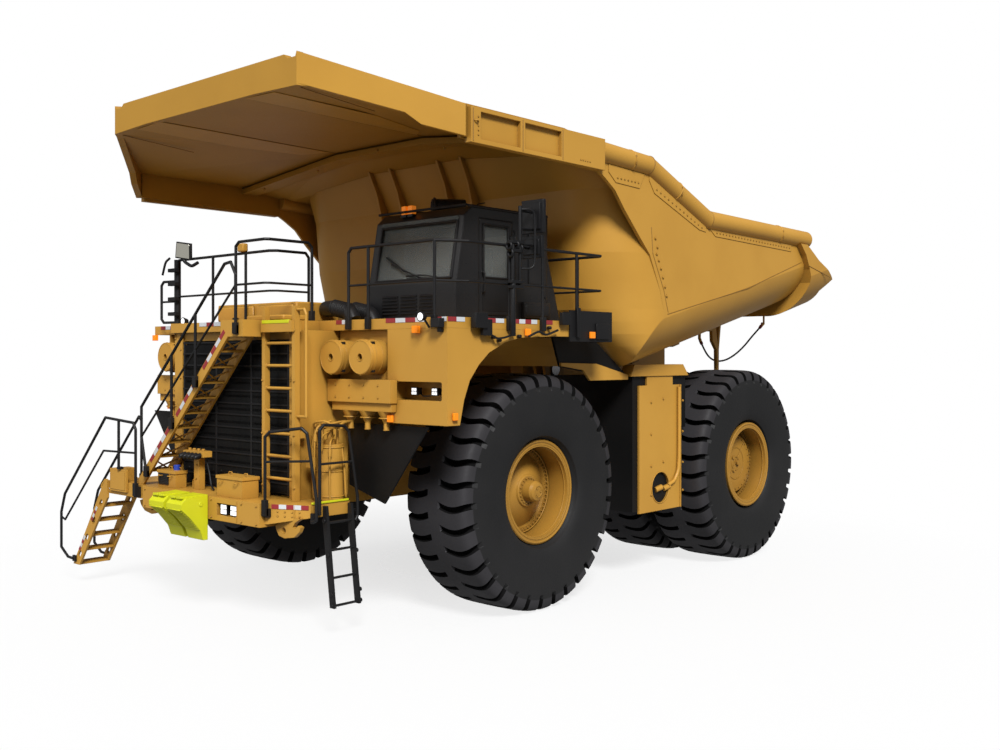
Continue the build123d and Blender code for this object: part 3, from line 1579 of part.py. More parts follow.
front_guard = join([
    bent([
        (-2300, front_guard_y, deck_top_z + 1090),
        (200, front_guard_y, deck_top_z + 1090),
        (300, front_guard_y + 80, deck_top_z + 1090),
        (300, -2060, deck_top_z + 1090),
        (300, -2000, deck_top_z + 1020),
        (300, -2000, deck_top_z),
    ]),
    bent([
        (-2300, front_guard_y, deck_mid_z),
        (200, front_guard_y, deck_mid_z),
        (300, front_guard_y + 80, deck_mid_z),
        (300, -2000, deck_mid_z),
    ], thin_rail_r),
    bent([(-1300, front_guard_y, deck_top_z), (-1300, front_guard_y, deck_top_z + 1090)]),
    bent([(-400, front_guard_y, deck_top_z), (-400, front_guard_y, deck_top_z + 1090)]),
])
mast_x = -2350.0
mast = join([
    bar((mast_x, front_guard_y, deck_low_z), (mast_x, front_guard_y, deck_top_z + 1100), 55),
    block(mast_x - 40, mast_x + 40, front_guard_y, right_deck_front_y, deck_low_z + 20, deck_low_z + 110),
    bent([
        (mast_x, front_guard_y - 20, deck_top_z + 740),
        (mast_x - 330, front_guard_y - 60, deck_top_z + 740),
        (mast_x - 400, front_guard_y - 60, deck_top_z + 680),
        (mast_x - 400, front_guard_y - 60, deck_top_z + 110),
        (mast_x - 330, front_guard_y - 60, deck_top_z + 50),
        (mast_x, front_guard_y - 20, deck_top_z + 50),
    ]),
    bent([
        (mast_x, front_guard_y - 20, deck_top_z + 400),
        (mast_x - 400, front_guard_y - 60, deck_top_z + 400),
    ],
         thin_rail_r),
])
right_guard = join([front_guard, mast])
save("deck_handrails", left_rail, hoop, right_guard)

# Stair rails: they stand against the outer stringers.
stair_rail_y = stair_y0 - rail_r - 2
stair_rail = join([
    bent([
        (-1540, stair_rail_y, 1990),
        (-1690, stair_rail_y, 2580),
        (-1690, stair_rail_y, 3050),
        (580, stair_rail_y, 5160),
        (730, stair_rail_y, 5180),
        (850, stair_rail_y, 5000),
        (850, stair_rail_y, 4180),
    ]),
    bent([(-1690, stair_rail_y, 2580), (850, stair_rail_y, 4850)], thin_rail_r),
    bent([(-820, stair_rail_y, 2760), (-820, stair_rail_y, 3855)]),
    bent([(-170, stair_rail_y, 3400), (-170, stair_rail_y, 4460)]),
    block(-1580, -1500, stair_rail_y - 10, stair_y0, 1960, 2060),
    block(-860, -780, stair_rail_y - 10, stair_y0, 2740, 2840),
    block(-210, -130, stair_rail_y - 10, stair_y0, 3390, 3490),
    block(810, 890, stair_rail_y - 10, stair_y0, 4150, 4280),
])
board_front_y = board_y0 - rail_r - 2
board_rear_y = board_y1 + rail_r + 2
board_rail_front = join([
    bent([
        (-1690, board_front_y, 1680),
        (-1690, board_front_y, 2700),
        (-1760, board_front_y, 2800),
        (-2630, board_front_y, 2850),
        (-4010, board_front_y, 1500),
        (-4140, board_front_y, 1180),
        (-4140, board_front_y, 580),
        (-3900, board_front_y, 440),
        (-3690, board_front_y, 430),
    ]),
    bent([(-1690, board_front_y, 2330), (-2690, board_front_y, 2310), (-4000, board_front_y, 1060),
          (-4140, board_front_y, 1100)], thin_rail_r),
    bent([(-2210, board_front_y, 2040), (-2210, board_front_y, 2825)]),
    block(-1740, -1640, board_front_y - 10, platform_front_y, 1640, 1800),
    block(-2250, -2170, board_front_y - 10, platform_front_y - 2, 2040, 2080),
    block(-3730, -3640, board_front_y - 10, board_y0, 390, 490),
])
board_rail_rear = join([
    bent([
        (-2560, board_rear_y, 1860),
        (-2560, board_rear_y, 2780),
        (-2640, board_rear_y, 2840),
        (-4010, board_rear_y, 1500),
        (-4140, board_rear_y, 1180),
        (-4140, board_rear_y, 580),
        (-3900, board_rear_y, 440),
        (-3690, board_rear_y, 430),
    ]),
    block(-2600, -2520, board_rear_y - 20, board_rear_y + 20, bumper_top_z, 1900),
    block(-3730, -3640, board_y1, board_rear_y + 10, 390, 490),
])
# Cages round the bumper's left wing.
cage_foot_x0 = 1525.0
cage_foot_x1 = 1610.0
wing_cage = join([
    bent([
        (1570, -3745, 1670),
        (1570, -3745, 2740),
        (1640, -3720, 2810),
        (2080, -3520, 2870),
        (2150, -3480, 2800),
        (2300, -3440, 1920),
        (2300, -3440, 1640),
        (2200, -3440, 1600),
    ]),
    bent([(1570, -3745, 2400), (2210, -3465, 2430)], thin_rail_r),
    flat_plate(1640, 1760, [
        (cage_foot_x0, -3745),
        (cage_foot_x1, -3745),
        (cage_foot_x1, wing_front_y + wing_slant * (cage_foot_x1 - wing_corner_x)),
        (cage_foot_x0, wing_front_y + wing_slant * (cage_foot_x0 - wing_corner_x)),
    ]),
    block(wing_x1, 2220, -3420, -3380, 1660, 1720),
    block(2180, 2220, -3450, -3380, 1580, 1720),
])
side_cage = join([
    bent([
        (2230, -3330, 1700),
        (2230, -3330, 2850),
        (2230, -3260, 2910),
        (2230, -2900, 2880),
        (2230, -2820, 2800),
        (2230, -2660, 1870),
        (2230, -2660, 1620),
        (2230, -2695, 1560),
    ]),
    block(wing_x1, 2240, -3350, -3310, 1690, 1790),
    block(2130, 2230, -2672, -2648, 1680, 1710),
    block(2110, 2140, wing_rear_y, -2648, 1680, 1710),
    bent([(2230, -3330, 2380), (2230, -2748, 2380)], thin_rail_r),
])
save("stair_handrails", stair_rail, board_rail_front, board_rail_rear, wing_cage, side_cage)

# ================================================================ small pieces on the front
chock_y = bumper_front_y - 6
chock_side = [
    (-4160, 1820),
    (chock_y, 1850),
    (chock_y, 1200),
    (-3880, 1200),
    (-3930, 1340),
    (-4090, 1530),
    (-4240, 1670),
    (-4240, 1740),
]
chocks = [side_plate(x, x + 390, chock_side) for x in (-580, -110)]
save("wheel_chocks", *chocks)

grease_tank = join([
    bar((1960, -2930, bumper_top_z), (1960, -2930, 2620), 190),
    bar((1960, -2930, 2600), (1960, -2930, 2680), 80),
])
battery_box = block(350, 970, -3700, -3420, bumper_top_z, 2120)
small_box = block(-1330, -830, -3650, -3460, bumper_top_z, 2080)
service_post = join([
    block(-560, -420, -3500, -3400, bumper_top_z, 2330),
    block(-760, -230, -3560, -3400, 2330, 2420),
])
switch_box = block(-2530, -2030, platform_front_y - 40, platform_front_y - 1, 1680, 2040)
switch_box = join([switch_box, block(-2530, -2260, platform_front_y - 40, -3480, bumper_top_z, 2040)])
save("bumper_boxes", grease_tank, battery_box, small_box, service_post, switch_box)

splash_y = -2455.0
splash = cross_plate(splash_y - 15, splash_y + 15, [
    (1830, 2000),
    (2580, 1790),
    (3440, 2890),
    (1830, 2890),
])
save("splash_panels", *both(splash), arch_panel)
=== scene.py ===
import math

import bpy
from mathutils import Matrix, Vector


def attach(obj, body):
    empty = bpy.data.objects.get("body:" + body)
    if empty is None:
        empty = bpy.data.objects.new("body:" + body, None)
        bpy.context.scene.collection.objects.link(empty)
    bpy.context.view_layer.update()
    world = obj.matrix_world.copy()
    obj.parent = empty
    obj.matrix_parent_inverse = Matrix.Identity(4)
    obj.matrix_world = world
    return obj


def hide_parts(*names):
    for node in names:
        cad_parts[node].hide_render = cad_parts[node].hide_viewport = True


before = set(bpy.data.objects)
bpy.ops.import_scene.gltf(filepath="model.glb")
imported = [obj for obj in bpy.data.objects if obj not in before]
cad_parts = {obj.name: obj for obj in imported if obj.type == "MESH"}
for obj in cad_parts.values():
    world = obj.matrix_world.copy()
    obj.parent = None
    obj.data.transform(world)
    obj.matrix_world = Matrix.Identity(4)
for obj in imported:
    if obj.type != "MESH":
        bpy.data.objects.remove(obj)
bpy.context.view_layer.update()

# Every length below is in metres, with the front axle at Y = 0, as in the part's source.
AXLE = -2.48                  # where the front axle lies in the shared frame
axle_z = 1.79
rear_axle = 5.9
scene = bpy.context.scene


def at(x, y, z):
    """A place in the shared frame."""
    return Vector((x, y + AXLE, z))


def add_object(name, data):
    """A new object in the scene that shows this data."""
    ob = bpy.data.objects.new(name, data)
    scene.collection.objects.link(ob)
    return ob


def add_node(nodes, kind, values):
    """A new shader node, with its inputs set by name or number."""
    node = nodes.new(kind)
    for key, value in values.items():
        node.inputs[key].default_value = value
    return node


# ---- camera
camera_data = bpy.data.cameras.new("camera")
camera = add_object("camera", camera_data)
camera_data.sensor_width = 36.0
camera_data.lens = 38.868
camera_data.shift_x = 0.00506
camera_data.shift_y = -0.01766
camera_data.clip_end = 500
heading = math.radians(42.077)
look = Vector((-math.sin(heading), math.cos(heading), math.tan(math.radians(-0.06))))
camera.location = at(13.7707, -12.576, 3.8426)
camera.rotation_euler = look.to_track_quat("-Z", "Y").to_euler()
scene.camera = camera

# ---- retaining cable
# X, Y behind the rear axle, Z; the same route as the part's own tube.
cable_route = [
    (2.15, 0.68, 4.1), (2.15, 0.82, 3.93), (2.15, 1.03, 3.79), (2.16, 1.29, 3.73),
    (2.22, 1.56, 3.765), (2.31, 1.79, 3.89), (2.42, 1.965, 4.07), (2.51, 2.115, 4.27),
    (2.6, 2.28, 4.45),
]
cable_points = [at(x, rear_axle + y, z) for x, y, z in cable_route]
cable_curve = bpy.data.curves.new("cable", "CURVE")
cable_curve.dimensions = "3D"
cable_curve.bevel_depth = 0.018
cable_curve.bevel_resolution = 6
cable_curve.resolution_u = 12
spline = cable_curve.splines.new("NURBS")
spline.points.add(len(cable_points) - 1)
for point, place in zip(spline.points, cable_points):
    point.co = (*place, 1)
spline.order_u = 3
spline.use_endpoint_u = True
cable = add_object("retaining_wire", cable_curve)
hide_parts("retaining_cable")
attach(cable, "dump_body")

# ---- finishes
def finish(name, colour, worn, rough=0.5, spread=0.12, patch=0.7, grain=45.0, bump=0.1,
           metal=0.0, edge=0.0, corners=0.0, shine=0.5):
    """Slow patches from colour to worn, a fine grain, soft edges, and painted shade: colour darkened in
    corners by an occlusion mask.
    """
    material = bpy.data.materials.new(name)
    material.use_nodes = True
    nodes = material.node_tree.nodes
    link = material.node_tree.links.new
    shader = nodes["Principled BSDF"]
    shader.inputs["Metallic"].default_value = metal
    shader.inputs["Specular IOR Level"].default_value = shine
    place = nodes.new("ShaderNodeTexCoord")
    slow = add_node(nodes, "ShaderNodeTexNoise", {"Scale": patch, "Detail": 6.0})
    fine = add_node(nodes, "ShaderNodeTexNoise", {"Scale": grain, "Detail": 3.0})
    for noise in (slow, fine):
        link(place.outputs["Object"], noise.inputs["Vector"])
    share = add_node(nodes, "ShaderNodeMapRange", {"From Min": 0.42, "From Max": 0.72})
    link(slow.outputs["Fac"], share.inputs["Value"])
    blend = nodes.new("ShaderNodeMix")
    blend.data_type = "RGBA"
    blend.inputs[6].default_value = (*colour, 1)
    blend.inputs[7].default_value = (*worn, 1)
    link(share.outputs["Result"], blend.inputs[0])
    colour_out = blend.outputs[2]
    # Painted shade: an occlusion mask darkens the colour in corners, creases and recesses, by the share the
    # corners argument gives.
    if corners:
        shade = add_node(nodes, "ShaderNodeAmbientOcclusion", {"Distance": 0.35})
        shade.samples = 6
        reach = {"From Min": 0.25, "From Max": 0.95, "To Min": corners, "To Max": 0.0}
        depth = add_node(nodes, "ShaderNodeMapRange", reach)
        link(shade.outputs["AO"], depth.inputs["Value"])
        corner_shade = nodes.new("ShaderNodeMix")
        corner_shade.data_type = "RGBA"
        corner_shade.inputs[7].default_value = (*(c * 0.25 for c in worn), 1)
        link(depth.outputs["Result"], corner_shade.inputs[0])
        link(colour_out, corner_shade.inputs[6])
        colour_out = corner_shade.outputs[2]
    link(colour_out, shader.inputs["Base Color"])
    sheen = add_node(nodes, "ShaderNodeMapRange", {"To Min": rough - spread, "To Max": rough + spread})
    link(fine.outputs["Fac"], sheen.inputs["Value"])
    link(sheen.outputs["Result"], shader.inputs["Roughness"])
    relief = add_node(nodes, "ShaderNodeBump", {"Strength": bump, "Distance": 0.004})
    link(fine.outputs["Fac"], relief.inputs["Height"])
    if edge:
        rounded = add_node(nodes, "ShaderNodeBevel", {"Radius": edge})
        rounded.samples = 3
        link(rounded.outputs["Normal"], relief.inputs["Normal"])
    link(relief.outputs["Normal"], shader.inputs["Normal"])
    return material


def glow(name, colour, strength):
    """A lit lamp lens with a fine ribbed brightness."""
    material = finish(name, colour, colour, rough=0.2, grain=80.0)
    shader = material.node_tree.nodes["Principled BSDF"]
    shader.inputs["Emission Color"].default_value = (*colour, 1)
    shader.inputs["Emission Strength"].default_value = strength
    return material


yellow = finish(
    "yellow_paint", (0.62, 0.325, 0.052), (0.56, 0.285, 0.043), rough=0.42, edge=0.012, corners=0.6,
    shine=0.35,
)
# A lighter copy of the yellow paint for the canopy underside's bands: painted light.
band_yellow_painted_light = finish("yellow_bands_painted_light", (0.66, 0.35, 0.045), (0.6, 0.315, 0.04), rough=0.4, shine=0.4)
# The canopy's own copy of the yellow paint, made darker: painted shade.
canopy_yellow_painted_shade = finish(
    "yellow_canopy_painted_shade", (0.55, 0.285, 0.036), (0.5, 0.255, 0.032), rough=0.42, edge=0.012, corners=0.6,
    shine=0.3,
)
# The rims' and wheel bolts' copy of the yellow paint, made darker: painted shade of the wheel recesses.
rim_yellow_painted_shade = finish(
    "yellow_rims_painted_shade", (0.44, 0.225, 0.034), (0.37, 0.185, 0.028), rough=0.42, edge=0.008, corners=0.7,
    shine=0.35,
)
yellow_deep = finish("yellow_seams_and_slot_shade", (0.3, 0.15, 0.025), (0.24, 0.12, 0.02), rough=0.55)
black = finish("black_paint", (0.01, 0.01, 0.011), (0.017, 0.016, 0.016), rough=0.42, edge=0.008, shine=0.3)
cab_black = finish("cab_paint", (0.012, 0.012, 0.013), (0.02, 0.019, 0.019), rough=0.32, edge=0.04, shine=0.4)
charcoal = finish(
    "black_panels", (0.006, 0.006, 0.006), (0.011, 0.01, 0.01), rough=0.5, grain=25.0, shine=0.25,
)
rubber = finish(
    "tyre_rubber", (0.014, 0.014, 0.0145), (0.021, 0.0205, 0.021), rough=0.6, grain=30.0, bump=0.35,
    shine=0.3,
)
tread = finish(
    "tyre_tread", (0.03, 0.0285, 0.0315), (0.044, 0.042, 0.046), rough=0.66, grain=22.0, bump=0.6, shine=0.3,
)
# The tread grooves' rubber, near black and dull: painted shade in the grooves.
groove_painted_shade = finish(
    "tyre_grooves_painted_shade", (0.004, 0.004, 0.004), (0.008, 0.0075, 0.008), rough=0.85, grain=22.0, shine=0.1,
)
lime = finish("lime_plastic", (0.72, 0.74, 0.012), (0.62, 0.62, 0.01), rough=0.45, edge=0.01, corners=0.3)
steel = finish(
    "bright_steel", (0.62, 0.62, 0.64), (0.5, 0.5, 0.52), rough=0.22, spread=0.06, metal=1.0, grain=120.0,
)
casting = finish(
    "yellow_casting", (0.36, 0.19, 0.035), (0.25, 0.13, 0.024), rough=0.6, grain=70.0, bump=0.5,
    corners=0.5, shine=0.3,
)
wire = finish("wire_rope", (0.03, 0.029, 0.028), (0.06, 0.055, 0.05), rough=0.55, grain=160.0, bump=0.8)
cloth = finish("seat_cloth", (0.045, 0.046, 0.05), (0.03, 0.03, 0.033), rough=0.9, grain=260.0, bump=0.9)
plastic = finish("dark_plastic", (0.03, 0.03, 0.033), (0.045, 0.045, 0.047), rough=0.6, grain=140.0, bump=0.4)
orange = glow("orange_lens", (0.95, 0.25, 0.01), 0.35)
white_lens = glow("white_lens", (0.9, 0.92, 0.95), 0.9)
red_tape = finish("red_tape", (0.35, 0.035, 0.04), (0.28, 0.03, 0.035), rough=0.3, grain=200.0, bump=0.3)
white_tape = finish("white_tape", (0.72, 0.74, 0.76), (0.6, 0.62, 0.64), rough=0.3, grain=200.0, bump=0.3)
blue = finish("blue_cap", (0.02, 0.06, 0.45), (0.02, 0.05, 0.35), rough=0.4)
silver = finish("mirror_face", (0.3, 0.29, 0.25), (0.24, 0.23, 0.2), rough=0.1, spread=0.03, metal=1.0)
red_link = finish("red_fitting", (0.22, 0.015, 0.02), (0.15, 0.01, 0.015), rough=0.5)

glass = finish(
    "cab_glazing", (0.38, 0.4, 0.38), (0.33, 0.35, 0.34), rough=0.012, spread=0.006, grain=2.0, bump=0.0,
)
pane = glass.node_tree.nodes["Principled BSDF"]
pane.inputs["Transmission Weight"].default_value = 0.75
pane.inputs["IOR"].default_value = 1.12

# The nodes that are not plain yellow.
cad_finish = {
    charcoal: ["radiator_grille", "side_tanks", "splash_panels"],
    black: ["deck_handrails", "stair_handrails", "egress_ladder", "cab_roof_unit", "deck_box"],
    cab_black: ["cab_shell", "cab_door"],
    glass: ["cab_glass", "door_glass"],
    casting: [
        "engine_block", "rear_axle_housing", "knuckle_left", "knuckle_right", "tie_rod", "suspension_struts",
    ],
    lime: ["wheel_chocks"],
    plastic: ["dash_console"],
    steel: ["hoist_sleeves", "hoist_rods"],
    canopy_yellow_painted_shade: ["canopy"],
    rim_yellow_painted_shade: ["front_rim_left", "front_rim_right", "rear_rims_left", "rear_rims_right"],
}
node_finish = {name: paint for paint, names in cad_finish.items() for name in names}
for name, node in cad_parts.items():
    node.data.materials.clear()
    node.data.materials.append(node_finish.get(name, yellow))
cable_curve.materials.append(wire)


# ---- mesh tools
def shape():
    """An empty pair of lists: points and faces."""
    return [], []


def grow(s, points, faces):
    """Adds points, and faces numbered from the first of them."""
    start = len(s[0])
    s[0].extend(points)
    s[1].extend([tuple(start + i for i in face) for face in faces])


def box(s, x0, x1, y0, y1, z0, z1):
    points = [(x, y, z) for z in (z0, z1) for x, y in ((x0, y0), (x1, y0), (x1, y1), (x0, y1))]
    grow(s, points, [(3, 2, 1, 0), (4, 5, 6, 7), (0, 1, 5, 4), (1, 2, 6, 5), (2, 3, 7, 6), (3, 0, 4, 7)])


def plate(s, corners, depth):
    """A flat plate: its corners in order, and how far it rises off them."""
    lift = Vector(depth)
    base = [Vector(c) for c in corners]
    n = len(base)
    faces = [tuple(range(n - 1, -1, -1)), tuple(range(n, 2 * n))]
    faces += [(i, (i + 1) % n, n + (i + 1) % n, n + i) for i in range(n)]
    grow(s, base + [p + lift for p in base], faces)


def across(direction):
    """Two unit directions square to this one."""
    direction = direction.normalized()
    side = direction.orthogonal().normalized()
    return side, direction.cross(side)


def rings(s, stations, n=12, close=True):
    """A round body through stations of (centre, direction, radius)."""
    points, faces = [], []
    side = up = None
    for centre, direction, radius in stations:
        centre = Vector(centre)
        direction = Vector(direction).normalized()
        if side is None:
            side, up = across(direction)
        else:
            side = (side - direction * side.dot(direction)).normalized()
            up = direction.cross(side)
        for i in range(n):
            turn = 2 * math.pi * i / n
            points.append(centre + (side * math.cos(turn) + up * math.sin(turn)) * radius)
    for k in range(len(stations) - 1):
        for i in range(n):
            j = (i + 1) % n
            faces.append((k * n + i, k * n + j, (k + 1) * n + j, (k + 1) * n + i))
    if close:
        faces.append(tuple(range(n - 1, -1, -1)))
        last = (len(stations) - 1) * n
        faces.append(tuple(range(last, last + n)))
    grow(s, points, faces)


def bar(s, a, b, r, n=12, r2=None):
    """A straight round bar from a to b, tapered when r2 is given."""
    a, b = Vector(a), Vector(b)
    rings(s, [(a, b - a, r), (b, b - a, r if r2 is None else r2)], n)


def tube(s, points, r, n=8):
    """A bent pipe with eased corners."""
    p = [Vector(q) for q in points]
    path = [p[0]]
    for a, b, c in zip(p, p[1:], p[2:]):
        for t in (0.0, 0.33, 0.67, 1.0):
            start, end = b + (a - b) * 0.3, b + (c - b) * 0.3
            path.append((start * (1 - t) + b * t) * (1 - t) + (b * (1 - t) + end * t) * t)
    path.append(p[-1])
    stations = []
    for i, q in enumerate(path):
        before = path[max(i - 1, 0)]
        after = path[min(i + 1, len(path) - 1)]
        stations.append((q, after - before, r))
    rings(s, stations, n)


def bolt(s, place, direction, r=0.018):
    """Washer and six-sided head."""
    place, direction = Vector(place), Vector(direction).normalized()
    bar(s, place - direction * 0.004, place + direction * r * 0.25, r * 1.5, 12)
    bar(s, place + direction * r * 0.2, place + direction * r * 1.1, r, 6, r * 0.92)


def hoop(s, centre, axis, radius, thick, n=48, m=8):
    """A ring of round section."""
    centre, axis = Vector(centre), Vector(axis).normalized()
    side, up = across(axis)
    points, faces = [], []
    for i in range(n):
        turn = 2 * math.pi * i / n
        out = side * math.cos(turn) + up * math.sin(turn)
        for j in range(m):
            lean = 2 * math.pi * j / m
            reach = out * (radius + thick * math.cos(lean))
            points.append(centre + reach + axis * thick * math.sin(lean))
    for i in range(n):
        for j in range(m):
            k, l = (i + 1) % n, (j + 1) % m
            faces.append((i * m + j, k * m + j, k * m + l, i * m + l))
    grow(s, points, faces)


def loop(s, corners, r):
    """Thin round bars along a closed outline."""
    for a, b in zip(corners, corners[1:] + corners[:1]):
        bar(s, a, b, r, 8)


def lerp(a, b, t):
    return tuple(p + (q - p) * t for p, q in zip(a, b))


def make(name, s, material, body="chassis", bevel=0.0, smooth=True):
    """One joined mesh from the lists, moved to the shared frame and riding on a body."""
    mesh = bpy.data.meshes.new(name)
    mesh.from_pydata([(x, y + AXLE, z) for x, y, z in s[0]], [], s[1])
    mesh.materials.append(material)
    ob = add_object(name, mesh)
    if bevel:
        soften = ob.modifiers.new("soften", "BEVEL")
        soften.width = bevel
        soften.segments = 2
        soften.limit_method = "ANGLE"
    if smooth:
        mesh.shade_smooth()
        mesh.set_sharp_from_angle(angle=math.radians(35))
    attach(ob, body)
    return ob


def mirrored(s):
    """The same shape on the truck's other side."""
    points = [(-x, y, z) for x, y, z in s[0]]
    return points, [tuple(reversed(face)) for face in s[1]]


# ---- tyres
# Half section from the crown to the bead: distance from the middle, radius,
# and how far a tread groove cuts it (across, inward).
tyre_section = [
    (0.0, 1.79, 0, 0), (0.06, 1.79, 0, 0), (0.1, 1.79, 0, 0), (0.115, 1.789, 0, 0.03),
    (0.13, 1.789, 0, 0.075), (0.17, 1.789, 0, 0.1), (0.23, 1.788, 0, 0.11), (0.31, 1.787, 0, 0.115),
    (0.38, 1.785, 0, 0.115), (0.44, 1.782, 0, 0.115), (0.49, 1.776, 0.01, 0.115), (0.53, 1.764, 0.03, 0.11),
    (0.565, 1.742, 0.055, 0.095), (0.588, 1.705, 0.07, 0.065), (0.603, 1.655, 0.066, 0.035),
    (0.612, 1.6, 0.046, 0.012), (0.617, 1.555, 0.02, 0), (0.62, 1.53, 0, 0), (0.626, 1.47, 0, 0),
    (0.63, 1.38, 0, 0), (0.631, 1.28, 0, 0), (0.63, 1.18, 0, 0), (0.624, 1.08, 0, 0), (0.61, 0.98, 0, 0),
    (0.59, 0.9, 0, 0), (0.56, 0.85, 0, 0), (0.53, 0.838, 0, 0), (0.505, 0.828, 0, 0),
    (0.475, 0.806, 0, 0), (0.445, 0.797, 0, 0),
]
pitches = 34
tread_edge = 15               # section steps from the crown to the shoulder's end
crown_steps = 2               # section steps of the plain band round the crown
# Turn within one pitch, and whether the groove of the near or the far side is there.
steps = [
    (0.0, 0, 0), (0.03, 1, 0), (0.27, 1, 0), (0.3, 0, 0), (0.4, 0, 0),
    (0.5, 0, 0), (0.53, 0, 1), (0.77, 0, 1), (0.8, 0, 0), (0.9, 0, 0),
]
crown_half, tread_run = 0.1, 0.5    # plain band, and the grooves' width beside it
tread_dip = 0.18              # how far a groove's middle lags behind its ends, in pitches


def tyre(s, x, y):
    """One tyre round its axle; the near half's grooves lie between the far half's."""
    section = [(q[0], q[1], q[2], q[3], 1) for q in reversed(tyre_section)]
    section += [(-q[0], q[1], -q[2], q[3], 2) for q in tyre_section[1:]]
    count = len(section)
    points, faces = [], []
    for p in range(pitches):
        for share, near, far in steps:
            for wide, radius, cut_in, cut_down, side in section:
                cut = near if side == 1 else far
                r = radius - cut_down * cut
                across_tread = min(1.0, max(0.0, (abs(wide) - crown_half) / tread_run))
                lag = tread_dip * math.sin(across_tread * math.pi)
                turn = 2 * math.pi * (p + share + lag) / pitches
                points.append((x + wide - cut_in * cut, y + r * math.cos(turn), axle_z + r * math.sin(turn)))
    turns = pitches * len(steps)
    for i in range(turns):
        j = (i + 1) % turns
        for k in range(count - 1):
            faces.append((i * count + k, i * count + k + 1, j * count + k + 1, j * count + k))
    grow(s, points, faces)


def finish_tyre(name, node, body, places):
    """Tyres at X, Y places as one piece: walls of rubber, then tread, then grooves darkened as painted shade.
    """
    s = shape()
    for x, y in places:
        tyre(s, x, y)
    ob = make(name, s, rubber, body)
    ob.data.materials.append(tread)
    ob.data.materials.append(groove_painted_shade)
    half = len(tyre_section) - 1
    for i, face in enumerate(ob.data.polygons):
        step = i // (2 * half) % len(steps)
        k = i % (2 * half)
        from_crown = half - 1 - k if k < half else k - half
        if from_crown < tread_edge:
            face.material_index = 1
        cut = steps[step][1 if k < half else 2]
        cut_next = steps[(step + 1) % len(steps)][1 if k < half else 2]
        if (cut or cut_next) and crown_steps < from_crown < tread_edge:
            face.material_index = 2
    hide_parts(node)


front_x, inner_x, outer_x = 2.836, 1.51, 3.02
for hand, side in ((1, "left"), (-1, "right")):
    finish_tyre(f"tyre_front_{side}", f"front_tyre_{side}", f"wheel_front_{side}", [(hand * front_x, 0)])
    finish_tyre(
        f"tyres_rear_{side}", f"rear_tyres_{side}", f"wheels_rear_{side}",
        [(hand * inner_x, rear_axle), (hand * outer_x, rear_axle)],
    )

# ---- wheel detail
outward = (1, 0, 0)           # drawn for the left side, then mirrored
front_face, rear_face = 3.31, 3.566    # outer beads of the rims
disc_face = 3.304             # the rear wheel's closing disc
rim_rings = ((0.765, 0.0, 0.026), (0.715, 0.006, 0.012))


def around(y, r, count, start=0.0):
    """Y, Z of evenly spaced places round the axle at y."""
    for i in range(count):
        turn = start + 2 * math.pi * i / count
        yield y + r * math.cos(turn), axle_z + r * math.sin(turn)


front_detail = shape()
for y, z in around(0, 0.635, 60):
    bolt(front_detail, (2.931, y, z), outward, 0.016)
for y, z in around(0, 0.602, 60, 0.05):
    bar(front_detail, (2.925, y, z), (2.936, y, z), 0.008, 6)
for y, z in around(0, 0.198, 20):
    bolt(front_detail, (3.108, y, z), outward, 0.015)
for y, z in around(0, 0.055, 3):
    bar(front_detail, (3.299, y, z), (3.309, y, z), 0.018, 16)
hoop(front_detail, (3.298, 0, axle_z), outward, 0.085, 0.01)
for r, step, thick in (*rim_rings, (0.688, -0.05, 0.014), (0.66, -0.36, 0.012)):
    hoop(front_detail, (front_face + step, 0, axle_z), outward, r, thick, 96)
bar(front_detail, (3.25, 0.7, 1.82), (front_face, 0.72, 1.82), 0.012, 8)
make("wheel_bolts_front_left", front_detail, rim_yellow_painted_shade, "wheel_front_left")
make("wheel_bolts_front_right", mirrored(front_detail), rim_yellow_painted_shade, "wheel_front_right")

rear_detail = shape()
for y, z in around(rear_axle, 0.49, 24):
    bolt(rear_detail, (disc_face, y, z), outward, 0.013)
hoop(rear_detail, (3.306, rear_axle, axle_z), outward, 0.3, 0.009, 64)
hoop(rear_detail, (3.306, rear_axle, axle_z), outward, 0.13, 0.012, 32)
for step, z, reach, r in ((0.04, 1.8, 3.35, 0.05), (-0.1, 1.9, 3.33, 0.035), (-0.08, 1.66, 3.33, 0.035)):
    bar(rear_detail, (disc_face, rear_axle + step, z), (reach, rear_axle + step, z), r, 6)
bar(rear_detail, (3.31, rear_axle - 0.34, 1.42), (3.31, rear_axle + 0.33, 2.18), 0.008, 6)
for y, z in around(rear_axle, 0.655, 60):
    bolt(rear_detail, (3.252, y, z), outward, 0.013)
for r, step, thick in (*rim_rings, (0.688, -0.046, 0.014)):
    hoop(rear_detail, (rear_face + step, rear_axle, axle_z), outward, r, thick, 96)
make("wheel_bolts_rear_left", rear_detail, rim_yellow_painted_shade, "wheels_rear_left")
make("wheel_bolts_rear_right", mirrored(rear_detail), rim_yellow_painted_shade, "wheels_rear_right")

# ---- dump body detail
body_trim = shape()
body_seams = shape()
body_side = 4.0
canopy_side = 4.11
corner_bolts = (
    (2.11, 5.75), (2.17, 5.61), (2.15, 5.5), (2.21, 5.4), (2.27, 5.27), (2.33, 5.13), (2.39, 4.98),
    (2.44, 4.83),
)
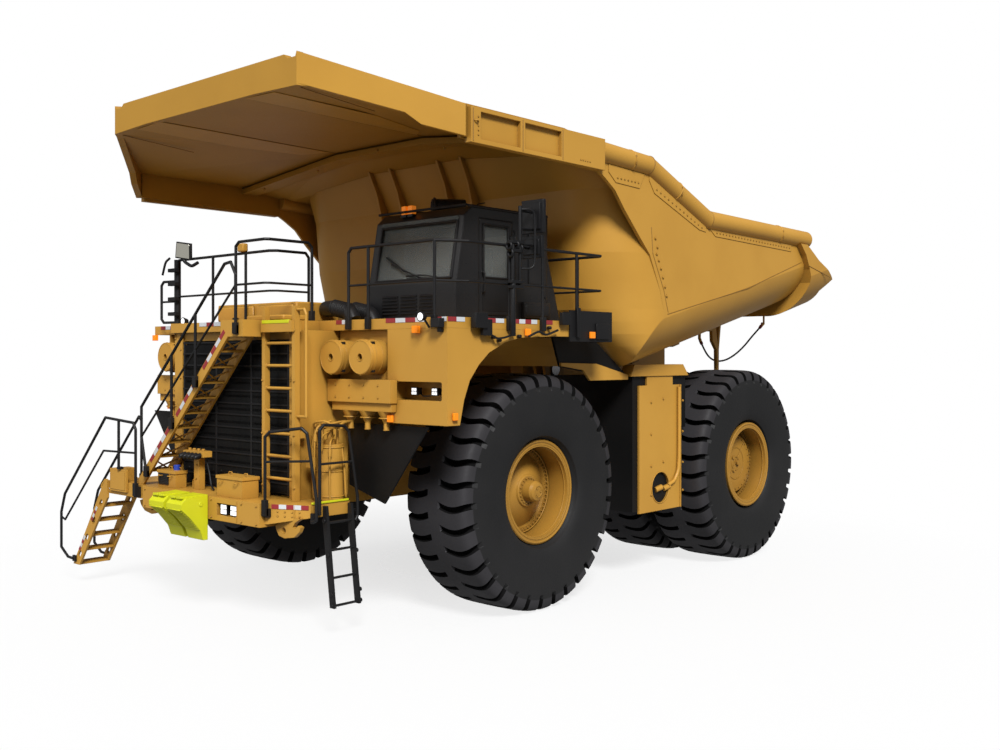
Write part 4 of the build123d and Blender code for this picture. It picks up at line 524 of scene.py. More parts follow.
# Bolted strips under the top rail: outline, first and last bolt, and their number.
strips = [
    ([(0.83, 6.66), (1.02, 6.52), (1.66, 6.5), (1.8, 6.74), (0.83, 6.78)], (1.06, 6.6), (1.62, 6.59), 7),
    (
        [(1.93, 6.66), (2.08, 6.47), (3.45, 6.0), (3.66, 5.98), (3.66, 6.1), (1.93, 6.78)],
        (2.14, 6.54), (3.52, 6.05), 13,
    ),
    ([(3.78, 6.05), (3.98, 5.93), (6.8, 5.87), (6.8, 6.0), (3.78, 6.07)], (4.02, 6.0), (6.72, 5.94), 26),
]
for hand in (1, -1):
    x = body_side * hand
    out = (hand, 0, 0)
    for y, z in corner_bolts:
        bolt(body_trim, (x, y, z), out, 0.02)
    for outline, first, last, count in strips:
        plate(body_trim, [(x - 0.004 * hand, y, z) for y, z in outline], (0.014 * hand, 0, 0))
        for i in range(count):
            y, z = lerp(first, last, i / (count - 1))
            bolt(body_trim, (x + 0.01 * hand, y, z), out, 0.014)
    # Seams above the belly and behind the front corner.
    for line in (
        [(2.47, 4.53), (5.13, 5.08), (7.25, 5.69)],
        [(2.0, 5.92), (2.04, 5.5), (2.17, 5.26), (2.36, 4.92), (2.49, 4.56)],
    ):
        for a, b in zip(line, line[1:]):
            bar(body_seams, (x, *a), (x, *b), 0.007, 6)
    # Collars of the top rail's tube, and its slots as dark boxes: painted shade in the openings.
    rail_x = 3.942 * hand
    path = [(0.6, 6.95), (1.94, 6.9), (3.75, 6.2), (7.5, 6.15)]
    for k in (1, 2):
        along = Vector((0, *path[k + 1])) - Vector((0, *path[k - 1]))
        hoop(body_seams, (rail_x, *path[k]), along, 0.169, 0.008, 40)
    for k, t in ((1, 0.45), (2, 0.68), (0, 0.62)):
        y, z = lerp(path[k], path[k + 1], t)
        along = Vector((0, *path[k + 1])) - Vector((0, *path[k]))
        hoop(body_trim, (rail_x, y, z), along, 0.166, 0.012, 40)
        # Painted shade: a dark box stands in for each slot's opening.
        slot_x = rail_x + hand * 0.13
        box(body_seams, slot_x - 0.04, slot_x + 0.04, y - 0.015, y + 0.015, z - 0.08, z + 0.06)
    # Canopy side: plate seams, bolts and a lifting eye.
    for y in (-2.3, -1.3, -0.42):
        bar(body_seams, (4.111 * hand, y, 6.66), (4.111 * hand, y, 7.09), 0.006, 6)
    for i in range(5):
        bolt(body_trim, (canopy_side * hand, i * 0.055, 6.72), out, 0.01)
        bolt(body_trim, (canopy_side * hand, -2.2, 6.75 + i * 0.06), out, 0.01)
    hoop(body_trim, (4.115 * hand, -2.25, 6.93), (0, 0, 1), 0.03, 0.01, 20)
    # Tail: seams across the ring.
    bar(body_seams, (4.112 * hand, 7.35, 5.62), (4.112 * hand, 8.28, 5.45), 0.007, 6)
# Canopy underside: seams along its folds, and bolts on its bolster.
for x in (-2.3, 2.3):
    bar(body_seams, (x, -3.7, 7.395), (x, -2.4, 7.3), 0.006, 6)
for x in (-1.1, 1.1):
    bar(body_seams, (x, -3.7, 7.44), (x, -0.32, 7.43), 0.008, 6)
for x in (-3.2, -1.6, 0.0, 1.6, 3.2):
    bolt(body_trim, (x, -0.302, 7.33 - 0.1 * abs(x)), (0, -1, 0), 0.02)
# A long flat band on each side of the canopy's underside, in a lighter yellow: painted light on those facets.
bands = shape()
for hand in (1, -1):
    near, far = 1.12 * hand, 1.78 * hand
    for outline in (
        [(near, -3.74, 7.434), (far, -3.74, 7.414), (far, -1.9, 7.398), (near, -1.9, 7.43)],
        [(near, -1.9, 7.43), (far, -1.9, 7.398), (1.5 * hand, -0.75, 7.39), (near, -0.45, 7.426)],
    ):
        plate(bands, outline[::hand], (0, 0, -0.005))
make("canopy_painted_light_bands", bands, band_yellow_painted_light, "dump_body")
make("body_bolts", body_trim, yellow, "dump_body")
make("body_weld_lines_and_slot_shade", body_seams, yellow_deep, "dump_body")

# Cable end fittings: a ferrule and an eye at each end.
fittings = shape()
for place, toward in ((cable_route[0], (0, -0.6, 0.75)), (cable_route[-1], (0.25, 0.55, 0.75))):
    centre = Vector((place[0], rear_axle + place[1], place[2]))
    lean = Vector(toward).normalized()
    ferrule = [(-0.02, 0.026), (0.005, 0.033), (0.05, 0.033), (0.06, 0.026)]
    rings(fittings, [(centre + lean * step, lean, r) for step, r in ferrule], 14)
    hoop(fittings, centre + lean * 0.085, (1, 0, 0), 0.035, 0.012, 24)
shackles = make("cable_shackles", fittings, red_link, "dump_body")

# ---- radiator front
forward = (0, -1, 0)
front_trim = shape()
for z in (4.05, 3.88, 3.7, 3.52, 3.33, 3.14, 2.97, 2.78, 2.59, 2.39, 2.2, 2.02):
    box(front_trim, -1.37, 1.37, -3.185, -3.168, z - 0.012, z + 0.012)
for x in (-1.34, -0.45, 0.45, 1.34):
    box(front_trim, x - 0.02, x + 0.02, -3.183, -3.168, 1.86, 4.07)
for i in range(12):
    bolt(front_trim, (-1.2 + i * 0.218, -3.17, 2.1), forward, 0.012)
make("grille_bars", front_trim, black, bevel=0.003)

mesh_trim = shape()
mesh_wires, mesh_pitch = 90, 0.03
for i in range(mesh_wires):
    x = -1.33 + i * mesh_pitch
    box(mesh_trim, x - 0.002, x + 0.002, -3.176, -3.17, 1.9, 4.04)
make("grille_mesh", mesh_trim, charcoal, smooth=False)

# Bolts down the grille's posts.
post_trim = shape()
for hand in (1, -1):
    for z in (4.18, 4.12, 4.16, 3.95, 3.5, 3.05, 2.6, 2.15):
        for x in (1.42, 1.57):
            bolt(post_trim, (x * hand, -3.19, z), forward, 0.014)
# Air cleaners: covers, bands, latches and the clamp of each dust cup.
can_x, can_z = (1.855, 2.48), 3.83
cup_y = -2.55
for hand in (1, -1):
    for x in can_x:
        for y, r, thick, n in (
            (-2.8, 0.241, 0.006, 56), (-2.735, 0.241, 0.006, 56), (-2.62, 0.241, 0.006, 56),
            (-2.831, 0.053, 0.007, 28), (-2.828, 0.228, 0.007, 56),
        ):
            hoop(post_trim, (x * hand, y, can_z), (0, 1, 0), r, thick, n)
        bar(post_trim, (x * hand, -2.82, 3.58), (x * hand, -2.82, 3.6), 0.012, 8)
    for x in (1.96, 2.32, 2.71):
        hoop(post_trim, (x * hand, cup_y, 2.99), (0, 0, 1), 0.1, 0.01, 36)
        hoop(post_trim, (x * hand, cup_y, 2.825), (0, 0, 1), 0.042, 0.006, 24)
    for x in (1.8, 2.1, 2.4, 2.7):
        for z in (3.27, 3.44):
            bolt(post_trim, (x * hand, -2.702, z), forward, 0.01)
make("air_cleaner_bands", post_trim, yellow)

latches = shape()
for hand in (1, -1):
    for x in can_x:
        for z in (4.01, 3.62):
            box(latches, x * hand + 0.125, x * hand + 0.165, -2.75, -2.7, z, z + 0.035)
        hub = [((x * hand, y, can_z), (0, 1, 0), 0.048) for y in (-2.72, -2.69)]
        rings(latches, hub, 20)
make("air_cleaner_latches", latches, black, bevel=0.003)

# ---- lamps and tape
lamp_cases = shape()
lenses = shape()
orange_parts = shape()


def led_lamp(x, y, z, half):
    """A square lamp facing forward: its case and four lit squares."""
    rim = half + 0.008
    gap = 0.006
    box(lamp_cases, x - half, x + half, y, y + 0.1, z - half, z + half)
    box(lamp_cases, x - rim, x + rim, y - 0.004, y + 0.02, z - rim, z + rim)
    for x0, x1 in ((x - half + gap, x - gap), (x + gap, x + half - gap)):
        for z0, z1 in ((z - half + gap, z - gap), (z + gap, z + half - gap)):
            box(lenses, x0, x1, y - 0.012, y, z0, z1)


for x in (3.18, 3.57):
    led_lamp(x, -2.47, 3.37, 0.048)
tube(lamp_cases, [(3.2, -2.37, 3.34), (3.28, -2.4, 3.3), (3.42, -2.4, 3.31), (3.55, -2.37, 3.34)], 0.01)
for x in (0.62, 0.86):
    led_lamp(x, -3.76, 1.665, 0.07)
# Round lamp on the left deck's edge, and one on the right.
for x, y, z in ((3.6, -2.76, 4.36), (-2.05, -2.76, 4.42)):
    for target, profile in (
        (lamp_cases, ((0.08, 0.04), (0.0, 0.066), (-0.01, 0.066))),
        (lenses, ((-0.008, 0.055), (-0.018, 0.036))),
    ):
        rings(target, [((x, y + step, z), forward, r) for step, r in profile], 24)
    bar(lamp_cases, (x, y + 0.06, z - 0.02), (x, y + 0.16, z - 0.14), 0.016, 8)
# Orange marker lamps, then the two beacons on the cab's roof edge.
marker_half = 0.048
for x0, x1, y0, y1, z in (
    (3.29, 3.4, -2.63, -2.571, 4.2), (2.79, 2.89, -2.62, -2.585, 2.99),
    (3.915, 3.95, -2.49, -2.41, 3.05), (-3.24, -3.14, -2.63, -2.571, 4.16),
    (-3.01, -2.93, -2.48, -2.42, 2.98), (3.92, 3.955, -1.04, -0.94, 4.18), (3.94, 3.97, 0.43, 0.55, 4.16),
):
    box(orange_parts, x0, x1, y0, y1, z - marker_half, z + marker_half)
for x in (1.84, 1.98):
    box(orange_parts, x - 0.045, x + 0.045, -1.42, -1.33, 5.97, 6.1)
    box(lamp_cases, x - 0.055, x + 0.055, -1.42, -1.3, 5.93, 5.975)
make("lamp_cases", lamp_cases, black, bevel=0.004)
make("lamp_lenses", lenses, white_lens)
make("marker_lamps", orange_parts, orange, bevel=0.006)

red_parts = shape()
white_parts = shape()


def tape(a, b, up, out, count, first=0):
    """Red and white pieces from a to b; up is its width, out its thickness."""
    a, b, up, out = Vector(a), Vector(b), Vector(up), Vector(out)
    for i in range(count):
        p = a + (b - a) * (i / count)
        q = a + (b - a) * ((i + 1) / count)
        target = red_parts if (i + first) % 2 == 0 else white_parts
        plate(target, [p, q, q + up, p + up], out)


tape_z = 4.3
tape_up = (0, 0, 0.06)
face = (0, -0.004, 0)
# On the decks' front and side edges.
for x0, x1, y, count, first in (
    (2.72, 3.5, -2.571, 4, 0), (3.72, 3.89, -2.571, 2, 0), (1.66, 1.92, -2.571, 2, 0),
    (-0.8, 0.18, -3.251, 5, 1), (-3.05, -2.45, -2.571, 4, 0),
):
    tape((x0, y, tape_z), (x1, y, tape_z), tape_up, face, count, first)
for y0, y1, count in ((-2.56, -2.24, 2), (-1.8, -1.46, 2), (-1.27, -0.75, 4), (-0.55, -0.4, 1)):
    tape((3.901, y0, tape_z), (3.901, y1, tape_z), tape_up, (0.004, 0, 0), count)
# Along the diagonal stair's outer stringer, in the stretches between its posts.
stair_run, stair_rise = 2.33, 2.32
rise = Vector((stair_run, 0, stair_rise)).normalized()
foot = Vector((-1.8, -3.701, 1.83))
for x0, x1 in ((-1.44, -0.9), (-0.7, -0.16), (0.02, 0.56)):
    start = foot + rise * ((x0 - foot.x) / rise.x)
    end = foot + rise * ((x1 - foot.x) / rise.x)
    tape(start, end, Vector((-rise.z, 0, rise.x)) * 0.06, face, 5)
# On the boarding stair, and on the slanted face of the bumper's left wing.
board = Vector((1.0, 0, 1.3)).normalized()
for t0, t1 in ((0.3, 0.62), (0.98, 1.28)):
    start = Vector((-3.71, -3.801, 0.34)) + board * t0
    tape(start, start + board * (t1 - t0), Vector((-board.z, 0, board.x)) * 0.05, face, 4)
slant = (Vector((2.15, -3.42, 0)) - Vector((1.51, -3.72, 0))).normalized()
start = Vector((1.62, -3.673, 1.76))
tape(start, start + slant * 0.56, tape_up, Vector((slant.y, -slant.x, 0)) * 0.004, 5)
make("tape_red", red_parts, red_tape, smooth=False)
make("tape_white", white_parts, white_tape, smooth=False)

# ---- cab detail
cab_trim = shape()
screen_sill = (-1.634, 4.9)   # Y, Z of the windscreen's foot
screen_lean = 0.177


def screen_point(x, z):
    """A point on the leaning windscreen."""
    return (x, screen_sill[0] + screen_lean * (z - screen_sill[1]), z)


def side_window(x, y0, y1):
    """Corners of an upright window in the cab's left side."""
    return [(x, y0, 4.99), (x, y1, 4.99), (x, y1, 5.76), (x, y0, 5.76)]


screen = ((1.44, 4.96), (3.04, 4.96), (3.04, 5.78), (1.44, 5.78))
loop(cab_trim, [screen_point(x, z) for x, z in screen], 0.022)
loop(cab_trim, side_window(3.151, -0.02, 0.32), 0.016)
# Wipers, louvres on the front below the screen, the roof gutter and studs by the rear corner.
for line, r in (
    (((2.62, 4.93), (2.3, 5.02), (1.75, 5.22)), 0.012),
    (((2.05, 5.1), (1.62, 5.33)), 0.016),
    (((2.95, 4.95), (2.45, 5.03), (2.1, 5.02)), 0.01),
):
    tube(cab_trim, [screen_point(x, z) for x, z in line], r)
for x0, x1 in ((1.62, 1.95), (2.02, 2.35), (2.42, 2.72)):
    for z in (4.48, 4.53, 4.58, 4.63, 4.68, 4.73):
        slat = [(x0, -1.632, z), (x1, -1.632, z), (x1, -1.65, z - 0.02), (x0, -1.65, z - 0.02)]
        plate(cab_trim, slat, (0, 0, 0.012))
tube(cab_trim, [(1.3, -1.42, 6.01), (3.15, -1.42, 6.01)], 0.02)
tube(cab_trim, [(3.16, -1.4, 6.0), (3.16, 0.38, 6.0)], 0.02)
for z in (4.55, 4.75, 4.95, 5.15):
    bar(cab_trim, (3.15, 0.34, z), (3.165, 0.34, z), 0.02, 6)
make("cab_trim", cab_trim, black)

# Tinted band over the windscreen's head.
screen_band = shape()
band = [screen_point(x, z) for x, z in ((1.4, 5.8), (3.06, 5.8), (3.04, 5.855), (1.42, 5.855))]
plate(screen_band, band, (0, -0.006, 0))
make("screen_band", screen_band, glass, bevel=0.002)

# The door window's seal, and the panel below it.
door_trim = shape()
loop(door_trim, side_window(3.152, -1.06, -0.52), 0.015)
door_panel = [(3.15, -1.08, 4.5), (3.15, -0.5, 4.5), (3.15, -0.5, 4.92), (3.15, -1.08, 4.92)]
plate(door_trim, door_panel, (0.006, 0, 0))
make("door_trim", door_trim, black, "door_body", bevel=0.002)

# Mirrors on their arms, left and right.
mirror_parts = shape()
mirror_faces = shape()
for x0, x1, z0, z1 in ((3.79, 4.19, 5.57, 6.04), (3.79, 4.16, 5.22, 5.53)):
    box(mirror_parts, x0, x1, -0.96, -0.9, z0, z1)
    box(mirror_parts, x0 + 0.04, x1 - 0.04, -0.985, -0.95, z0 + 0.05, z1 - 0.05)
    box(mirror_faces, x0 + 0.02, x1 - 0.02, -0.902, -0.896, z0 + 0.02, z1 - 0.02)
mast = (3.985, -1.22)
bar(mirror_parts, (*mast, 4.8), (*mast, 5.93), 0.024)
tube(mirror_parts, [(*mast, 5.9), (4.02, -1.02, 5.9), (4.04, -0.9, 5.88), (4.04, -0.88, 5.82)], 0.016)
guard_loop = [
    (*mast, 5.88), (4.06, -1.1, 5.89), (4.09, -1.02, 5.84), (4.09, -1.02, 5.12), (4.06, -1.08, 5.06),
    (*mast, 5.06),
]
tube(mirror_parts, guard_loop, 0.018)
for z in (5.86, 5.62, 5.4):
    bar(mirror_parts, (*mast, z), (4.0, -0.94, z), 0.016)
# Its thick foot post on the deck's edge, with the clamps between.
bar(mirror_parts, (3.985, -1.37, 4.12), (3.985, -1.37, 4.86), 0.042)
bar(mirror_parts, (3.985, -1.37, 4.84), (3.985, -1.37, 5.44), 0.026)
for z in (4.8, 4.87, 5.3, 5.42):
    box(mirror_parts, 3.945, 4.025, -1.43, -1.17, z - 0.022, z + 0.022)
for y, z in ((-1.45, 5.36), (-1.3, 5.38), (-1.42, 5.26), (-1.22, 5.34)):
    hoop(mirror_parts, (3.985, y, z), (0, 1, 0), 0.045, 0.02, 16)
# The mirror on the right deck, turned toward the cab.
mirror_plate = [(-2.14, -2.86, 5.47), (-1.86, -2.74, 5.42), (-1.88, -2.73, 5.7), (-2.12, -2.85, 5.74)]
plate(mirror_parts, [(x, y + 0.004, z) for x, y, z in mirror_plate], (-0.015, 0.04, 0.004))
middle = sum((Vector(p) for p in mirror_plate), Vector()) / 4
plate(mirror_faces, [middle + (Vector(p) - middle) * 0.86 for p in mirror_plate], (0.004, -0.009, 0))
arm = [(-2.02, -2.78, 5.46), (-2.0, -2.76, 5.4), (-1.86, -2.72, 5.32), (-1.72, -2.69, 5.38)]
tube(mirror_parts, arm, 0.028)
make("mirrors", mirror_parts, black, bevel=0.012)
make("mirror_faces", mirror_faces, silver, bevel=0.003)

# Boxes, hoses and clamps hung on the left deck's edge.
edge_boxes = shape()
for sides in (
    (3.72, 3.88, -2.7, -2.6, 4.22, 4.34), (3.76, 3.84, -2.62, -2.57, 4.16, 4.24),
    (3.94, 4.03, -2.16, -1.92, 4.22, 4.42), (3.94, 4.0, -1.98, -1.8, 4.12, 4.34),
    (3.925, 3.99, -0.27, -0.08, 4.3, 4.48), (3.945, 3.975, 0.1, 0.18, 4.12, 4.56),
    (3.925, 3.955, 0.6, 0.92, 4.1, 4.34),
):
    box(edge_boxes, *sides)
tube(edge_boxes, [(3.97, -1.86, 4.16), (3.99, -1.7, 4.08), (3.97, -1.5, 4.1), (3.97, -1.3, 4.16)], 0.016)
tube(edge_boxes, [(3.96, -1.0, 4.12), (3.98, -0.8, 4.2), (3.96, -0.62, 4.14), (3.97, -0.36, 4.22)], 0.018)
for y, z in ((-1.72, 4.1), (-1.6, 4.06), (-1.18, 4.12), (-0.52, 4.25)):
    bar(edge_boxes, (3.91, y, z), (3.97, y, z), 0.026, 10)
make("deck_edge_boxes", edge_boxes, black, bevel=0.006)

# Finned intake drum on the roof, and its pipe.
drum = shape()
start, end = Vector((1.87, -0.85, 6.15)), Vector((2.19, -0.44, 6.15))
fins = 24
for i in range(fins):
    t = 0.04 + 0.92 * i / (fins - 1)
    hoop(drum, start + (end - start) * t, end - start, 0.122, 0.006, 32, 6)
for place in (start, end):
    hoop(drum, place, end - start, 0.08, 0.012, 28)
along = (end - start).normalized()
hoop(drum, start + along * 0.04, along, 0.125, 0.022, 36)
hoop(drum, start, along, 0.04, 0.014, 20)
tube(drum, [(1.9, -0.95, 6.03), (1.8, -1.1, 6.03), (1.6, -1.2, 6.03)], 0.03)
tube(drum, [(2.25, -0.42, 6.12), (2.4, -0.35, 6.2), (2.48, -0.3, 6.21)], 0.008)
make("roof_drum_fins", drum, black)

# Closed panel, blank display box and foot gusset behind the door.
panel_parts = shape()
box(panel_parts, 3.15, 3.168, -0.06, 0.37, 4.93, 5.82)
box(panel_parts, 3.15, 3.22, -0.22, 0.39, 4.42, 4.66)
box(panel_parts, 3.22, 3.228, -0.19, 0.36, 4.45, 4.63)
plate(panel_parts, [(3.1, 0.4, 5.4), (3.1, 0.4, 4.37), (3.1, 0.72, 4.37)], (0.05, 0, 0))
make("side_panel", panel_parts, cab_black, bevel=0.006)

# ---- seats
def cushion(name, x0, x1, y0, y1, z0, z1, lean=0.0):
    """A crowned pad: a fine grid pulled in at its edges, with two sewn channels."""
    n = 14                    # grid cells along each side
    pull, fill_back = 0.28, 0.1
    points, faces = [], []
    middle = Vector(((x0 + x1) / 2, (y0 + y1) / 2, (z0 + z1) / 2))
    half = Vector(((x1 - x0) / 2, (y1 - y0) / 2, (z1 - z0) / 2))
    index = {}
    for i in range(n + 1):
        for j in range(n + 1):
            for k in range(n + 1):
                if 0 < i < n and 0 < j < n and 0 < k < n:
                    continue
                u, v, w = (2 * q / n - 1 for q in (i, j, k))
                a = u * math.sqrt(1 - pull * v * v - pull * w * w + fill_back * v * v * w * w)
                b = v * math.sqrt(1 - pull * u * u - pull * w * w + fill_back * u * u * w * w)
                c = w * math.sqrt(1 - pull * u * u - pull * v * v + fill_back * u * u * v * v)
                channel = 0.05 * math.exp(-((abs(u) - 0.55) / 0.06) ** 2)
                if half.y < half.z:
                    b *= 1 - channel
                else:
                    c *= 1 - channel
                p = middle + Vector((a * half.x, b * half.y, c * half.z))
                p.y += lean * (p.z - z0)
                index[i, j, k] = len(points)
                points.append(p)
    for i in range(n):
        for j in range(n):
            for k, flip in ((0, True), (n, False)):
                quads = [
                    [(i, j, k), (i + 1, j, k), (i + 1, j + 1, k), (i, j + 1, k)],
                    [(j, k, i), (j, k, i + 1), (j + 1, k, i + 1), (j + 1, k, i)],
                    [(k, i, j), (k, i + 1, j), (k, i + 1, j + 1), (k, i, j + 1)],
                ]
                for quad in quads:
                    ring = [index[q] for q in quad]
                    faces.append(tuple(reversed(ring)) if flip else tuple(ring))
    ob = make(name, (points, faces), cloth)


seat_base = shape()
for label, x, y in (("driver", 2.33, -0.42), ("trainer", 1.75, -0.25)):
    box(seat_base, x - 0.15, x + 0.15, y - 0.17, y + 0.15, 4.43, 4.72)
    for i in range(4):
        hoop(seat_base, (x, y - 0.01, 4.48 + i * 0.06), (0, 0, 1), 0.15, 0.02, 24)
    cushion(f"seat_{label}_cushion", x - 0.245, x + 0.245, y - 0.255, y + 0.17, 4.76, 4.895)
    cushion(f"seat_{label}_back", x - 0.225, x + 0.225, y + 0.135, y + 0.235, 4.88, 5.53, 0.125)
seats = make("seat_bases", seat_base, plastic, bevel=0.01)
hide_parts("cab_seats")

# ---- bumper, boxes, ladders
bumper_trim = shape()
for x in (1.7, 1.8, 1.9, 2.0):
    y = -3.72 + 0.46875 * (x - 1.51)
    for z in (1.68, 1.74):
        bolt(bumper_trim, (x, y, z - 0.02), (0.42, -0.9, 0), 0.01)
for x in (-1.45, -0.95, 0.36, 1.1, 1.45):
    for z in (1.79, 1.54):
        bolt(bumper_trim, (x, -3.8, z), forward, 0.014)
bar(bumper_trim, (0.99, -3.803, 1.52), (0.99, -3.803, 1.81), 0.005, 6)
# Lids, hinges and handles of the boxes.
for x0, x1, y0, y1, z in ((0.35, 0.97, -3.7, -3.42, 2.12), (-1.33, -0.83, -3.65, -3.46, 2.08)):
    box(bumper_trim, x0 - 0.012, x1 + 0.012, y0 - 0.012, y1 + 0.012, z - 0.035, z + 0.012)
    for x in (x0 + 0.12, x1 - 0.12):
        grip = ((-0.04, -0.012), (-0.04, -0.05), (0.04, -0.05), (0.04, -0.012))
        tube(bumper_trim, [(x + dx, y0 + dy, z - 0.07) for dx, dy in grip], 0.007)
        grip = ((-0.04, 0.01), (-0.04, 0.05), (0.04, 0.05), (0.04, 0.01))
        tube(bumper_trim, [(x + dx, y0 + 0.15, z + dz) for dx, dz in grip], 0.008)
# Service post with its row of couplings.
for x in (-0.7, -0.58, -0.46, -0.34):
    bar(bumper_trim, (x, -3.48, 2.42), (x, -3.48, 2.45), 0.025, 12)
for x, z in ((-0.5, 2.0), (-0.48, 2.2)):
    bolt(bumper_trim, (x, -3.5, z), forward, 0.014)
tube(bumper_trim, [(-0.66, -3.45, 1.83), (-0.66, -3.45, 1.96), (-0.6, -3.45, 1.98)], 0.012)
# Grease tank: bands, cap, pump and pipes.
tank_x, tank_y = 1.96, -2.93
for z in (1.9, 2.25, 2.58):
    hoop(bumper_trim, (tank_x, tank_y, z), (0, 0, 1), 0.192, 0.01, 48)
bar(bumper_trim, (tank_x, tank_y, 2.66), (tank_x, tank_y, 2.8), 0.045, 16)
for dx, dy, r in ((0.1, 0.05, 0.02), (-0.09, -0.06, 0.016)):
    x, y = tank_x + dx, tank_y + dy
    tube(bumper_trim, [(x, y, 2.6), (x, y, 2.86), (tank_x + 0.5 * dx, -2.7, 2.92), (tank_x, -2.5, 2.92)], r)
tube(bumper_trim, [(2.12, -2.86, 2.6), (2.16, -2.84, 2.3), (2.14, -2.8, 1.9), (2.1, -2.76, 1.86)], 0.018)
# Corner box with its lever plate, and the stair's grab loop.
box(bumper_trim, -2.5, -2.06, -3.806, -3.798, 1.71, 2.01)
grab = [(-2.62, -3.74, 1.66), (-2.78, -3.76, 1.62), (-2.86, -3.76, 1.72), (-2.74, -3.76, 1.82)]
tube(bumper_trim, grab, 0.03)
# Collars on the ladder's rungs, and bolts of its brackets.
for i in range(7):
    z = 2.12 + i * 0.318
    for x in (1.055, 1.675):
        hoop(bumper_trim, (x, -3.33, z), outward, 0.026, 0.008, 16)
for z in (2.02, 2.75, 3.5, 4.2):
    for x in (1.0, 1.73):
        bolt(bumper_trim, (x, -3.376, z), forward, 0.014)
make("bumper_details", bumper_trim, yellow)

couplings = shape()
for x in (-0.7, -0.6, -0.5, -0.4, -0.3):
    profile = ((-3.55, 2.36, 0.04), (-3.62, 2.34, 0.045), (-3.66, 2.33, 0.03))
    rings(couplings, [((x, y, z), (0, -1, -0.3), r) for y, z, r in profile], 16)
hose = [(-0.38, -3.42, 2.35), (-0.3, -3.4, 2.1), (-0.22, -3.42, 1.9), (-0.12, -3.44, 1.85)]
tube(couplings, hose, 0.014)
box(couplings, -1.3, -1.02, -3.664, -3.648, 1.87, 2.04)
for i in range(6):
    box(couplings, -1.29, -1.03, -3.67, -3.66, 1.89 + i * 0.025, 1.9 + i * 0.025)
# Black sleeves at the feet of the rail posts.
for x, y, z, h in (
    (0.2, -3.274, 4.24, 0.17), (0.95, -2.45, 4.37, 0.15), (2.38, -2.594, 4.22, 0.17),
    (3.69, -2.594, 4.22, 0.17), (3.44, 0.79, 4.37, 0.12), (2.76, 0.79, 4.37, 0.12),
    (1.96, -2.594, 4.22, 0.17), (-1.69, -3.824, 1.66, 0.2), (1.57, -3.745, 1.66, 0.22),
    (-0.82, -3.724, 2.74, 0.17), (-0.17, -3.724, 3.38, 0.17), (0.85, -3.724, 4.16, 0.16),
    (-1.54, -3.724, 1.97, 0.16),
):
    box(couplings, x - 0.04, x + 0.04, y - 0.035, y + 0.028, z, z + h)
for y in (-1.37, -0.65):
    box(couplings, 3.904, 3.958, y - 0.045, y + 0.045, 4.2, 4.4)
# Egress ladder: pivot bosses.
for y, side in ((-3.2, -1), (-2.76, 1)):
    for x, z in ((2.2, 1.6), (2.29, 1.15), (2.36, 0.62), (2.37, 0.47)):
        bar(couplings, (x, y + side * 0.02, z), (x, y + side * 0.045, z), 0.03, 12)
# Valve blocks on the right deck's mast, and the hose over them.
for z in (4.55, 4.8, 5.05, 5.28):
    box(couplings, -2.46, -2.24, -2.8, -2.72, z - 0.03, z + 0.03)
tube(couplings, [(-2.52, -2.86, 5.2), (-2.46, -2.84, 5.42), (-2.36, -2.82, 5.48)], 0.02)
make("black_fittings", couplings, black, bevel=0.003)

caps = shape()
bar(caps, (-1.0, -3.52, 2.08), (-1.0, -3.52, 2.17), 0.05, 20)
make("blue_filler_cap", caps, blue, bevel=0.004)

# Lime edges of the left walkway and of the ladder's landing.
lime_bits = shape()
edge = [(2.13, -3.4, 1.831), (2.165, -3.4, 1.831), (2.165, -2.76, 1.831), (2.13, -2.76, 1.831)]
plate(lime_bits, edge, (0, 0, 0.03))
box(lime_bits, 1.06, 1.68, -3.435, -3.39, 4.3, 4.35)
make("lime_edges", lime_bits, lime, bevel=0.006)

# Wheel chocks: ribs across the sloping face, bars on the top and a round plug.
ribs = shape()
rib_count, knee = 12, 0.42    # the face bends at this share of its length
for x0 in (-0.58, -0.11):
    for i in range(rib_count):
        t = i / rib_count
        if t < knee:
            y, z = lerp((-4.24, 1.66), (-4.09, 1.53), t / knee)
        else:
            y, z = lerp((-4.09, 1.53), (-3.93, 1.34), (t - knee) / (1 - knee))
        bar(ribs, (x0 + 0.02, y, z), (x0 + 0.37, y, z), 0.01, 8)
    for x in (x0 + 0.08, x0 + 0.24):
        box(ribs, x - 0.03, x + 0.1, -4.21, -3.86, 1.815, 1.848)
    bar(ribs, (x0 + 0.385, -3.92, 1.72), (x0 + 0.397, -3.92, 1.72), 0.035, 16)
make("chock_ribs", ribs, lime, bevel=0.004)

# ---- stair treads
# The diagonal stair's treads, then the boarding stair's.
steps_mesh = shape()
for i in range(1, 10):
    share = i / 10
    x = -1.77 + stair_run * share
    z = 1.84 + stair_rise * share
    for k in range(6):
        box(steps_mesh, x - 0.125 + k * 0.036, x - 0.113 + k * 0.036, -3.66, -3.29, z, z + 0.012)
    # Cross lacing below the treads, as on an open stair.
    for y0, y1 in ((-3.68, -3.27), (-3.27, -3.68)):
        bar(steps_mesh, (x - 0.05, y0, z - 0.04), (x + 0.18, y1, z + 0.16), 0.014, 6)
for i in range(5):
    x = -3.7 + 0.2 * i
    z = 0.38 + 0.26 * i
    for k in range(5):
        box(steps_mesh, x - 0.045 + k * 0.042, x - 0.033 + k * 0.042, -3.76, -3.29, z, z + 0.01)
make("tread_grips", steps_mesh, yellow, smooth=False)

